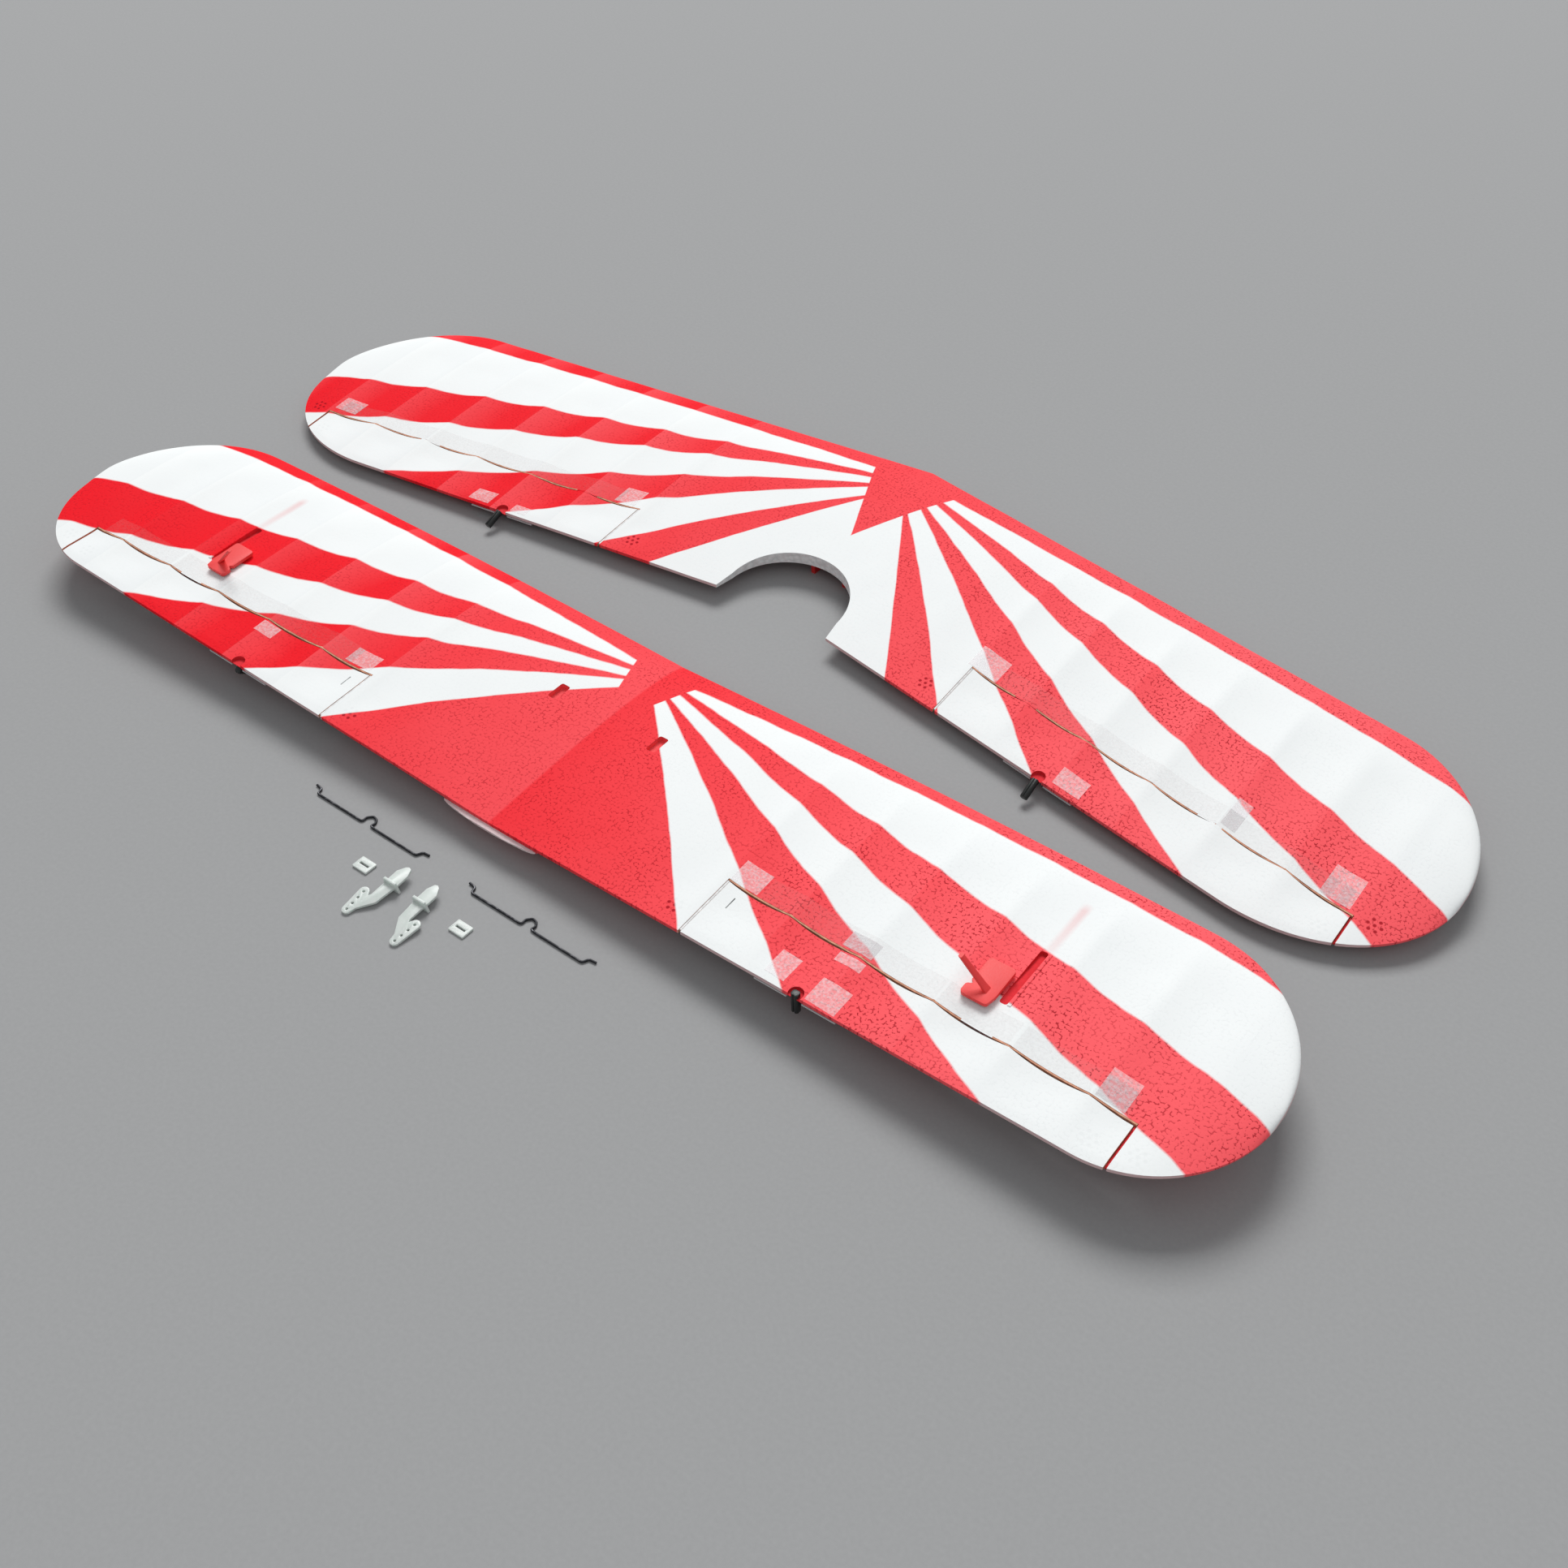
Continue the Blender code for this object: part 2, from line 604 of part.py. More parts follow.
def add_pushrod(word, x, y, parent):
    """Wire rod lying flat: a jog at each end and an adjusting bend in the middle."""
    half = ROD_HALF
    corners = [
        (-half - 2.9, 2.3), (-half - 0.5, 2.0), (-half, 0.0),
        (-1.7, 0.0), (-1.75, 1.9), (-0.5, 3.3), (1.1, 2.9), (2.0, 1.6), (1.6, 0.2), (3.4, 0.0),
        (half - 0.2, 0.0), (half + 0.7, 1.9), (half + 2.9, 2.1),
    ]
    curve = bpy.data.curves.new(f"pushrod_{word}", "CURVE")
    curve.dimensions = "3D"
    curve.bevel_depth = WIRE_RADIUS * MM
    curve.bevel_resolution = 2
    curve.use_fill_caps = True
    points = rounded_path(corners, WIRE_BEND)
    spline = curve.splines.new("POLY")
    spline.points.add(len(points) - 1)
    for spot, point in zip(spline.points, points):
        spot.co = (point.x * MM, point.y * MM, 0.0, 1.0)
    rod = bpy.data.objects.new(f"pushrod_{word}", curve)
    rod.location = Vector((x, y, WIRE_RADIUS)) * MM
    rod.parent = parent
    curve.materials.append(finish(f"pushrod_{word}", "black_wire"))
    bpy.context.collection.objects.link(rod)


def horn_outline(side):
    """Spike, body and hooked arm of a control horn, seen flat; side 1 has its arm to -X."""
    points = [(0.1, 6.9), (1.0, 6.6), (1.9, 4.4), (1.9, 0.0), (1.5, -3.0), (1.2, -6.7), (-1.9, -11.2)]
    points += arc((-3.6, -12.7), 1.4, 0.0, -180.0, 6)
    points += arc((-4.2, -5.9), 1.5, 180.0, 20.0, 6)
    points += [(-2.2, -6.3), (-1.8, -5.4), (-1.8, -1.8), (-2.0, 1.1), (-2.0, 4.2), (-0.7, 6.4)]
    return [(side * x, y) for x, y in points]


def add_control_horn(word, x, y, side, parent):
    """Horn lying on its flange and the end of its arm."""
    half = HORN_THICK / 2.0
    wide, thin, tall = HORN_FLANGE
    pitch = math.atan2(tall - half, HORN_ARM_END - thin)
    place = (x, y, tall * math.cos(pitch) + thin * math.sin(pitch))
    tilt = (pitch, 0.0, 0.0)
    flat = prism(horn_outline(side), -half, half)
    horn = add_piece(f"control_horn_{word}", flat, "white_nylon", parent, place, tilt)
    flange = block((-wide, wide), (-thin, thin), (-tall, tall))
    boolean(horn, add_piece(f"horn_flange_{word}", flange, None, parent, place, tilt), "UNION")
    first = Vector(HORN_FIRST_HOLE)
    last = Vector(HORN_LAST_HOLE)
    for index in range(HORN_HOLES):
        spot = first.lerp(last, index / (HORN_HOLES - 1))
        hole = drum(side * spot.x, spot.y, HORN_HOLE_RADIUS, -SMALL_CUT, SMALL_CUT, 12)
        boolean(horn, add_piece(f"horn_hole_{word}_{index}", hole, None, parent, place, tilt))


def add_backplate(word, x, y, parent):
    long, wide, thick = (size / 2.0 for size in BACKPLATE_SIZE)
    plate = block((-long, long), (-wide, wide), (-thick, thick))
    piece = add_piece(f"backplate_{word}", plate, "white_nylon", parent, (x, y, thick))
    slot_long, slot_wide = (size / 2.0 for size in BACKPLATE_SLOT)
    slot = block((-slot_long, slot_long), (-slot_wide, slot_wide), (-SMALL_CUT, SMALL_CUT))
    boolean(piece, add_piece(f"backplate_slot_{word}", slot, None, parent, (x, y, thick)))


# ---------------------------------------------------------------- assembly

def build():
    clear_scene()
    layout = add_empty("layout", (-LAYOUT_CENTRE[0], -LAYOUT_CENTRE[1], 0.0))
    lower = add_empty("lower_frame", (0.0, 0.0, LOWER_HEIGHT), parent=layout)
    upper = add_empty("upper_frame", UPPER_PLACE, (UPPER_PITCH, 0.0, UPPER_YAW), layout)
    add_lower_wing(lower)
    add_belly_fairing(lower)
    for side, word in ((-1, "left"), (1, "right")):
        add_strut_plate(lower, side, word)
    add_upper_wing(upper)
    add_cabane_mount(upper)
    for word, x, y in ROD_PLACES:
        add_pushrod(word, x, y, layout)
    for word, x, y, side in HORN_PLACES:
        add_control_horn(word, x, y, side, layout)
    for word, x, y in BACKPLATE_PLACES:
        add_backplate(word, x, y, layout)


build()
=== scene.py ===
import math

import bmesh
import bpy
from mathutils import Euler, Matrix, Vector, noise


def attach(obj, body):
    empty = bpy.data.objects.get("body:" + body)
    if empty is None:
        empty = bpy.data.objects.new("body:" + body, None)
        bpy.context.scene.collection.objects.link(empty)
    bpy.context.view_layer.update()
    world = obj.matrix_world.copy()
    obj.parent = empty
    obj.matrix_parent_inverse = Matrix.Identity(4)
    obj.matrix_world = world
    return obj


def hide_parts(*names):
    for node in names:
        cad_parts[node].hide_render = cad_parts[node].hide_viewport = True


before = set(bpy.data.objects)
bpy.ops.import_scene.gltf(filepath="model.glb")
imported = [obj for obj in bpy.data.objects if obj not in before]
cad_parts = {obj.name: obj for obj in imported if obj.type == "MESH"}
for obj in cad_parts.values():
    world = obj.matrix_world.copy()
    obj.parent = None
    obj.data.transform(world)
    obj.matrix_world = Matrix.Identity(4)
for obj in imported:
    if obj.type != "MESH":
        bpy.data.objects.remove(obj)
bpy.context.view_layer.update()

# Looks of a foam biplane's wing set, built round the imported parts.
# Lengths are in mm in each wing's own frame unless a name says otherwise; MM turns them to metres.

MM = 0.001
SIDES = ((-1, "left"), (1, "right"))

# ---------------------------------------------------------------- driving dimensions

# Foam section and outlines, as in the CAD
CREST = 4.2
BELLY = 1.6
EDGE_HALF = 0.5
TIP_LAST = math.radians(86.0)
GAP = 0.3

LOWER = {
    "half_span": 216.0, "tip_y": 35.0, "dihedral": math.radians(2.0),
    "trailing": (-1.2, 0.0, 0.0), "leading": (82.0, 0.0, 4.2 / 175.0 ** 2),
    "trailing_round_x": 182.0, "leading_round_x": 178.0,
    "aileron_x": (67.7, 191.0), "hinge_y": (19.3, 14.0), "link_x": 104.8,
}
UPPER = {
    "half_span": 220.3, "tip_y": 32.0, "dihedral": 0.0,
    "trailing": (19.8, 0.150, 0.0), "leading": (105.9, 0.1413, 0.0),
    "trailing_round_x": 168.0, "leading_round_x": 182.0,
    "aileron_x": (66.8, 199.8), "hinge_y": (30.3, 9.3), "link_x": 106.7,
}
LOWER_HEIGHT = 7.5
LOWER_FRAME = Matrix.Translation(Vector((-1.1, -83.5, LOWER_HEIGHT)) * MM)
UPPER_TURN = Euler((math.radians(3.1), 0.0, math.radians(-0.72))).to_matrix().to_4x4()
UPPER_FRAME = Matrix.Translation(Vector((-0.4, 21.8, 4.33)) * MM) @ UPPER_TURN
LAYOUT_FRAME = Matrix.Translation(Vector((-1.1, -83.5, 0.0)) * MM)

HINGE_GAP = 0.6
END_GAP = 0.8
FRONT_BEVEL = math.radians(30.0)
FRONT_DEPTH = 8.0
CUT_LOW = -15.0
CUT_HIGH = 25.0
CUT_BEHIND = -40.0
CUTOUT_RADIUS = 21.0
CUTOUT_Y = 23.5
CUTOUT_MOUTH = 22.1
CUTOUT_CORNER_Y = 16.0
STRUT_SLOT = {"x": 147.6, "y": (25.5, 45.0), "width": 2.2, "depth": 1.5}
CABANE_SLOT = {"x": 18.9, "y": (44.2, 50.8), "width": 3.2, "depth": 1.6}
SLOT_CORNER = 0.7
HORN_SLIT = {"x": 73.0, "y": (11.5, 15.5), "width": 0.35}    # all but closed, as the photo shows
NOTCH_RADIUS = 2.1
NOTCH_SET_IN = 0.9

# Surface relief that only the visual meshes carry
RIB_PITCH = 22.4
FIRST_RIB = 44.0
RIB_SAG = 0.85
FOAM_UNEVEN = 0.07

# Fineness of the foam meshes
STATION_STEP = 1.7
CHORD_STEPS = 54
TIP_STEPS = 30

# Paint: each edge is (inner x, y), (outer x, y) and bow, listed from the leading edge back.
# White and red take turns between them, outside a line that rises from the apex.
# Dots are the moulded clusters of seven pits.
LOWER_PAINT = {
    "apex": (40.9, 2.85),
    "edges": (
        ((11.3, 73.1), (199.8, 68.9), 3.7),
        ((10.8, 70.3), (215.5, 30.4), 2.5),
        ((10.0, 68.1), (205.2, 9.1), 0.8),
        ((9.0, 65.1), (158.4, -1.2), 1.0),
        ((8.3, 63.5), (101.5, -1.2), 1.5),
        ((6.7, 60.0), (67.5, -1.2), 1.0),
    ),
    "dots": ((61.6, 4.8), (183.9, 4.5), (195.2, 6.4)),
}
UPPER_PAINT = {
    "apex": (58.9, 2.2),
    "edges": (
        ((16.0, 94.1), (208.2, 64.8), 2.0),
        ((14.2, 90.7), (219.0, 23.8), 2.5),
        ((13.3, 88.1), (206.9, 4.6), 1.5),
        ((11.6, 85.0), (156.9, -3.7), 1.2),
        ((10.5, 83.0), (105.3, 4.0), 1.2),
        ((8.6, 78.5), (68.8, 9.5), 1.5),
        ((8.0, 76.5), (47.3, 12.7), 0.5),
    ),
    "dots": ((58.8, 17.5), (194.2, 1.1), (205.4, 9.8)),
}
PAINT_SOFTNESS = 0.35
PAINT_SCALLOP = 0.35
PAINT_WANDER = 1.0
DOT_RING = 1.9
DOT_RADIUS = 0.62
MOULD_RING = (69.7, 16.3)        # round mould mark on the upper right aileron

# Faint overspray ahead of each strut slot, along a shallow groove that is not modelled
GROOVE_X = (147.2, 149.4)
GROOVE_Y = (45.0, 64.0)

# Bead texture: beads to a metre, and where a junction of beads shows as a pit
BEAD_SCALE = 900.0
PIT_EDGE = (0.06, 0.20)
PIT_CORNER = (0.42, 0.53)
PIT_CHANCE = (0.48, 0.54)
FOAM_SPECULAR = 0.05

# Clear tape: (x from, to), (y from, to) of each patch, and what it is stuck to
LOWER_TAPE = {
    "right": (
        ("wing", (68.0, 77.0), (19.6, 27.0)), ("wing", (105.0, 114.0), (18.4, 23.6)),
        ("aileron", (106.0, 114.0), (13.4, 16.4)), ("aileron", (93.8, 100.0), (1.0, 9.0)),
        ("aileron", (107.5, 116.6), (-0.6, 7.4)), ("wing", (179.0, 187.0), (15.2, 24.0)),
    ),
    "left": (
        ("wing", (70.0, 80.0), (20.0, 26.0)), ("aileron", (105.0, 112.0), (12.0, 16.6)),
    ),
}
UPPER_TAPE = {
    "right": (
        ("wing", (65.0, 76.0), (30.2, 39.0)), ("wing", (156.7, 161.4), (17.2, 28.0)),
        ("wing", (188.7, 198.0), (11.4, 22.0)), ("aileron", (111.0, 120.6), (4.2, 10.9)),
    ),
    "left": (
        ("wing", (70.0, 78.0), (30.4, 38.0)), ("aileron", (113.0, 121.0), (3.4, 9.0)),
        ("aileron", (98.0, 104.0), (6.0, 9.6)), ("wing", (190.0, 199.0), (12.4, 19.0)),
    ),
}
TAPE_LIFT = (0.04, 0.10)
TAPE_STEP = 1.5
BAND_WIDTH = 7.5
BAND_ENDS = (10.0, 3.0)
BAND_LIFT = (0.01, 0.03)

# Foam left standing in the hinge cut, which breaks up its dark line
CORE_TOP = -0.07
CORE_WANDER = 0.14
CORE_DEPTH = 1.0
BRIDGE_TOP = -0.01
CREASE_TOP = (-0.10, -0.75)      # inboard and outboard
NOTCH_FLOOR = -0.20
SLOT_RIDGE_X = (148.75, 149.8)
SLOT_RIDGE_TOP = 0.25
BRIDGES = {"lower": ((142.0, 151.0),), "upper": ((84.0, 92.0), (150.0, 158.0))}

# Fittings. Sizes follow the CAD but for the sockets' groove, the belly lip's top and the horns'
# thickness, which are given here.
SOCKET_SIZE = (2.2, 2.0, 6.5)
SOCKET_CHAMFER = 0.45
SOCKET_GROOVE = (0.3, 0.22)
SOCKET_TOP = 1.0
SOCKET_POSES = {
    ("lower", "left"): (math.radians(55.0), -0.8, 2.7), ("lower", "right"): (0.0, -0.8, 0.0),
    ("upper", "left"): (math.radians(-70.0), 1.3, 0.0),
    ("upper", "right"): (math.radians(-70.0), 1.3, 0.0),
}
PLATE_THICK = 0.8
PLATE_X = (138.2, 145.9)
PLATE_Y = (21.6, 34.7)
PLATE_STEP_Y = 25.0
PLATE_LOBE_X = (137.6, 145.4)
PLATE_CORNER = 1.0
PLATE_LOBE_CORNER = 0.9
PLATE_STEP = ((0.0, 1.4), (0.9, 0.6), (0.2, 0.0))
TAB_TAPER = ((-0.02, 1.35), (0.1, 1.18), (0.2, 1.05), (0.5, 0.95), (0.75, 0.88), (1.0, 0.8))
TAB_FOOT = (143.4, 25.6)
TAB_RISE = 8.5
TAB_LEAN = 7.8
TAB_SIZE = (1.8, 1.0)
BELLY_HALF_WIDTH = 17.4
BELLY_Y = (-2.7, 76.0)
BELLY_STERN_Y = 15.0
BELLY_STERN_RISE = 6.1
BELLY_BOW_Y = 64.0
BELLY_BOW_RISE = 3.4
BELLY_BOW_NARROWING = 0.25
BELLY_LIP = -0.42                # the lip starts at the foot of the trailing edge
BELLY_LIP_FALL = 0.25
BELLY_STERN_CURVE = 2.2
BELLY_LEAST_WIDTH = 0.12
BELLY_FULLNESS = (1.12, 0.75)
BELLY_TURNS = 48
BELLY_TEAR = 0.22
WIRE_RADIUS = 0.35
WIRE_BEND = 0.9
BEND_SHARE = 0.45
ROD_HALF = 20.1
ROD_BEND = ((-1.7, 0.0), (-1.75, 1.9), (-0.5, 3.3), (1.1, 2.9), (2.0, 1.6), (1.6, 0.2), (3.4, 0.0))
ROD_PLACES = (("left", -32.9, -17.4), ("right", 29.2, -18.1))
HORN_THICK = 0.8
HORN_FLANGE = (3.0, 0.4, 1.8)
HORN_ARM_END = 14.1
HORN_HOLE_RADIUS = 0.42
HORN_HOLES = 4
HORN_FIRST_HOLE = (-3.6, -12.7)
HORN_LAST_HOLE = (-4.2, -6.0)
HORN_PLACES = (("left", -8.9, -30.0, 1), ("right", 2.3, -30.0, -1))
BACKPLATE_SIZE = (5.4, 4.2, 0.7)
BACKPLATE_SLOT = (3.4, 0.7)
BACKPLATE_CORNER = 0.35
BACKPLATE_PLACES = (("left", -21.2, -28.6), ("right", 16.2, -29.0))
SMALL_CUT = 2.0

# Widths of rounded edges
RIDGE_ROUNDING = 0.2
SOCKET_ROUNDING = 0.16
PLATE_ROUNDING = 0.22
HORN_ROUNDING = 0.08
FLANGE_ROUNDING = 0.15
BACKPLATE_ROUNDING = 0.10

# The two reds are the paint in painted shade and in painted sheen, and the tone between them stands in
# for light.
RED_DEEP = (0.89, 0.010, 0.020)
RED_LIGHT = (1.0, 0.118, 0.135)
# Painted shade in the pits between beads.
PIT_SHADE_RED = (0.36, 0.004, 0.012)
PIT_SHADE_GREY = (0.56, 0.58, 0.59)
WHITE = (0.915, 0.935, 0.925)
WHITE_SHADE = (0.78, 0.81, 0.82)
BARE_FOAM = (0.88, 0.89, 0.885)
EDGE_SHADE_PINK = (0.74, 0.52, 0.52)
OVERSPRAY = (0.86, 0.50, 0.50)
CUT_BROWN = (0.78, 0.38, 0.24)
SLOT_RED = (0.80, 0.030, 0.042)
POCKET_RED = (0.97, 0.110, 0.120)
TORN_FOAM = ((0.72, 0.50, 0.51), (0.90, 0.80, 0.80))
NYLON_TONES = ((0.62, 0.69, 0.65), (0.84, 0.88, 0.84))
WIRE_TONES = ((0.035, 0.036, 0.040), (0.13, 0.13, 0.14))
FLOOR_TONES = ((0.335, 0.337, 0.338), (0.375, 0.377, 0.378))


def arc(centre, radius, start, stop, steps):
    """Points of an arc, angles in degrees."""
    turns = [math.radians(start + (stop - start) * step / steps) for step in range(steps + 1)]
    return [(centre[0] + radius * math.cos(turn), centre[1] + radius * math.sin(turn)) for turn in turns]


# ---------------------------------------------------------------- node helpers

class Shader:
    """A material with a Principled shader and short ways to add nodes to it."""

    def __init__(self, name, roughness, metallic=0.0, specular=0.5):
        self.material = bpy.data.materials.new(name)
        self.material.use_nodes = True
        self.tree = self.material.node_tree
        self.surface = self.tree.nodes["Principled BSDF"]
        self.surface.inputs["Roughness"].default_value = roughness
        self.surface.inputs["Metallic"].default_value = metallic
        self.surface.inputs["Specular IOR Level"].default_value = specular

    def node(self, kind, inputs=None, **settings):
        node = self.tree.nodes.new(kind)
        for key, value in settings.items():
            setattr(node, key, value)
        for key, value in (inputs or {}).items():
            self.feed(node.inputs[key], value)
        return node

    def feed(self, socket, value):
        if isinstance(value, bpy.types.NodeSocket):
            self.tree.links.new(value, socket)
        elif socket.type == "RGBA" and len(value) == 3:
            socket.default_value = (*value, 1.0)
        else:
            socket.default_value = value

    def math(self, operation, *values, clamp=False):
        node = self.node("ShaderNodeMath", operation=operation, use_clamp=clamp)
        for index, value in enumerate(values):
            self.feed(node.inputs[index], value)
        return node.outputs[0]

    def mix(self, share, first, second):
        node = self.node("ShaderNodeMix", data_type="RGBA")
        self.feed(node.inputs[0], share)
        self.feed(node.inputs[6], first)
        self.feed(node.inputs[7], second)
        return node.outputs[2]

    def place(self):
        return self.node("ShaderNodeTexCoord").outputs["Object"]

    def in_mm(self, value):
        return self.math("MULTIPLY", value, 1.0 / MM)

    def noise(self, place, scale, detail=2.0):
        node = self.node("ShaderNodeTexNoise", {"Vector": place, "Scale": scale, "Detail": detail})
        return node.outputs["Fac"]

    def beads(self, place, scale, feature="F1", dimensions="3D", randomness=1.0):
        node = self.node("ShaderNodeTexVoronoi", feature=feature, voronoi_dimensions=dimensions)
        self.feed(node.inputs["Vector"], place)
        self.feed(node.inputs["Scale"], scale)
        self.feed(node.inputs["Randomness"], randomness)
        return node.outputs["Distance"]

    def ramp(self, value, low, high):
        """0 below low, 1 above high, straight between."""
        node = self.node("ShaderNodeMapRange", {"Value": value, "From Min": low, "From Max": high})
        return node.outputs[0]

    def fall(self, value, low, high):
        """1 below low, 0 above high."""
        return self.math("SUBTRACT", 1.0, self.ramp(value, low, high))

    def band(self, value, low, high, soft):
        """1 between low and high, soft at both ends."""
        rise = self.ramp(value, low - soft, low + soft)
        return self.math("MULTIPLY", rise, self.fall(value, high - soft, high + soft))

    def distance(self, across, along, x, y):
        """Distance in mm from a point (x, y) in plan."""
        dx = self.math("SUBTRACT", across, x)
        dy = self.math("SUBTRACT", along, y)
        squared = self.math("MULTIPLY_ADD", dx, dx, self.math("MULTIPLY", dy, dy))
        return self.math("SQRT", squared)

    def colour(self, value):
        self.feed(self.surface.inputs["Base Color"], value)

    def rough(self, value):
        self.feed(self.surface.inputs["Roughness"], value)

    def bump(self, height, distance, strength=1.0):
        node = self.node(
            "ShaderNodeBump", {"Height": height, "Distance": distance, "Strength": strength}
        )
        self.feed(self.surface.inputs["Normal"], node.outputs[0])


# ---------------------------------------------------------------- materials

def paint_mask(shader, paint, across, along):
    """1 where the foam is left white; across is |x| and along is y, both in mm."""
    apex_y, apex_slope = paint["apex"]
    total = 0.0
    for index, (inner, outer, bow) in enumerate(paint["edges"]):
        span = outer[0] - inner[0]
        share = shader.math("DIVIDE", shader.math("SUBTRACT", across, inner[0]), span)
        line = shader.math("MULTIPLY_ADD", share, outer[1] - inner[1], inner[1])
        hump = shader.math("MULTIPLY", share, shader.math("SUBTRACT", 1.0, share))
        line = shader.math("MULTIPLY_ADD", hump, 4.0 * bow, line)
        below = shader.math("SUBTRACT", line, along)
        step = shader.ramp(below, -PAINT_SOFTNESS, PAINT_SOFTNESS)
        operation = "ADD" if index % 2 == 0 else "SUBTRACT"
        total = shader.math(operation, total, step)
    apex = shader.math("MULTIPLY_ADD", across, apex_slope, apex_y)
    outside = shader.ramp(shader.math("SUBTRACT", apex, along), -PAINT_SOFTNESS, PAINT_SOFTNESS)
    return shader.math("MULTIPLY", total, outside, clamp=True)


def dot_mask(shader, paint, across, along):
    """1 inside each small moulded pit of the clusters of seven."""
    total = 0.0
    for x, y in paint["dots"]:
        spots = [(x, y)] + arc((x, y), DOT_RING, 0.0, 300.0, 5)
        for spot_x, spot_y in spots:
            away = shader.distance(across, along, spot_x, spot_y)
            inside = shader.fall(away, 0.6 * DOT_RADIUS, DOT_RADIUS)
            total = shader.math("MAXIMUM", total, inside)
    return total


def painted_foam(name, paint):
    """Bead foam with red sunburst rays, scalloped at the ribs, and pits between the beads; its colour
    carries painted sheen, painted rib shading and painted shade in the pits.
    """
    shader = Shader(name, 0.6, specular=FOAM_SPECULAR)
    place = shader.place()
    parts = shader.node("ShaderNodeSeparateXYZ", {"Vector": place})
    sideways = shader.in_mm(parts.outputs[0])
    across = shader.math("ABSOLUTE", sideways)
    along = shader.in_mm(parts.outputs[1])
    rib = shader.math("MULTIPLY", shader.math("SUBTRACT", across, FIRST_RIB), math.pi / RIB_PITCH)
    scallop = shader.math("ABSOLUTE", shader.math("SINE", rib))
    scallop = shader.math("MULTIPLY", scallop, shader.ramp(across, 40.0, 70.0))
    wander = shader.math("SUBTRACT", shader.noise(place, 110.0), 0.5)
    shifted = shader.math("MULTIPLY_ADD", scallop, PAINT_SCALLOP, along)
    shifted = shader.math("MULTIPLY_ADD", wander, PAINT_WANDER, shifted)
    white = paint_mask(shader, paint, across, shifted)

    dome = shader.beads(place, BEAD_SCALE, "F1", "2D", 0.8)
    rim = shader.beads(place, BEAD_SCALE, "DISTANCE_TO_EDGE", "2D", 0.8)
    crack = shader.fall(rim, *PIT_EDGE)
    corner = shader.ramp(dome, *PIT_CORNER)
    patchy = shader.ramp(shader.noise(place, 70.0, 3.0), 0.38, 0.62)
    # The pits' painted shade is stronger to the right, with the painted sheen, and patchy at random.
    strength = shader.math("MULTIPLY_ADD", shader.ramp(sideways, -90.0, 110.0), 0.60, 0.40)
    strength = shader.math("MULTIPLY", strength, shader.math("MULTIPLY_ADD", patchy, 0.55, 0.45))
    chance = shader.ramp(shader.noise(place, 1250.0, 1.0), *PIT_CHANCE)
    junction = shader.math("MULTIPLY", crack, shader.math("MULTIPLY", corner, chance))
    dots = dot_mask(shader, paint, across, along)
    pit = shader.math("MAXIMUM", shader.math("MULTIPLY", junction, strength), dots)

    # Painted light: the red is painted deeper towards the left tips and lighter to the right as a painted
    # sheen, steps at the lower wing's middle as painted light between the halves, and every bay between
    # two ribs of the left half turns from deep to light going outboard as painted rib shading; the noise
    # is the paint's own uneven tone.
    tone_and_painted_light = shader.ramp(sideways, -170.0, 150.0)
    left = shader.fall(sideways, -0.4, 0.4)
    if paint is LOWER_PAINT:
        slope = shader.math("MULTIPLY_ADD", sideways, 0.0055, 0.22)
        tone_and_painted_light = shader.math("MULTIPLY_ADD", left, 0.44, slope)
    bay = shader.math("DIVIDE", shader.math("SUBTRACT", across, FIRST_RIB), RIB_PITCH)
    bay = shader.math("FRACT", bay)
    painted_facet_shade = shader.math("MULTIPLY", shader.math("SUBTRACT", bay, 0.5), shader.ramp(across, 44.0, 90.0))
    painted_facet_shade = shader.math("MULTIPLY", painted_facet_shade, shader.math("MULTIPLY_ADD", left, 0.62, 0.15))
    thin = shader.math("MULTIPLY_ADD", shader.noise(place, 26.0, 3.0), 0.3, -0.15)
    tone_and_painted_light = shader.math("ADD", tone_and_painted_light, shader.math("ADD", painted_facet_shade, thin), clamp=True)
    red = shader.mix(tone_and_painted_light, RED_DEEP, RED_LIGHT)
    # Pits, the moulded dots among them, are painted darker red on red and greyer on white as painted
    # shade.
    red = shader.mix(shader.math("MULTIPLY", pit, 0.85), red, PIT_SHADE_RED)
    # The white greys at random and also takes the painted rib shading.
    cloud = shader.math("MULTIPLY", shader.noise(place, 55.0, 4.0), 0.30)
    cloud = shader.math("MULTIPLY_ADD", painted_facet_shade, -0.35, cloud, clamp=True)
    pale = shader.mix(cloud, WHITE, WHITE_SHADE)
    pale = shader.mix(shader.math("MULTIPLY", pit, 0.10), pale, PIT_SHADE_GREY)
    if paint is UPPER_PAINT:
        ring = shader.distance(sideways, along, *MOULD_RING)
        pit = shader.math("MAXIMUM", pit, shader.math("MULTIPLY", shader.band(ring, 1.5, 1.8, 0.2), 0.35))
    if paint is LOWER_PAINT:
        groove = shader.band(across, *GROOVE_X, 0.7)
        groove = shader.math("MULTIPLY", groove, shader.band(along, *GROOVE_Y, 1.5))
        groove = shader.math("MULTIPLY", groove, shader.ramp(along, 30.0, 64.0))
        pale = shader.mix(shader.math("MULTIPLY", groove, 0.6), pale, OVERSPRAY)
    # Painted shade: faces of the white that turn away from up, its edges and underside, are painted a
    # darker pink.
    normal = shader.node("ShaderNodeNewGeometry").outputs["Normal"]
    upright = shader.node("ShaderNodeSeparateXYZ", {"Vector": normal}).outputs[2]
    pale = shader.mix(shader.fall(upright, 0.10, 0.45), pale, EDGE_SHADE_PINK)
    shader.colour(shader.mix(white, red, pale))
    shader.rough(shader.math("MULTIPLY_ADD", pit, 0.2, 0.55))

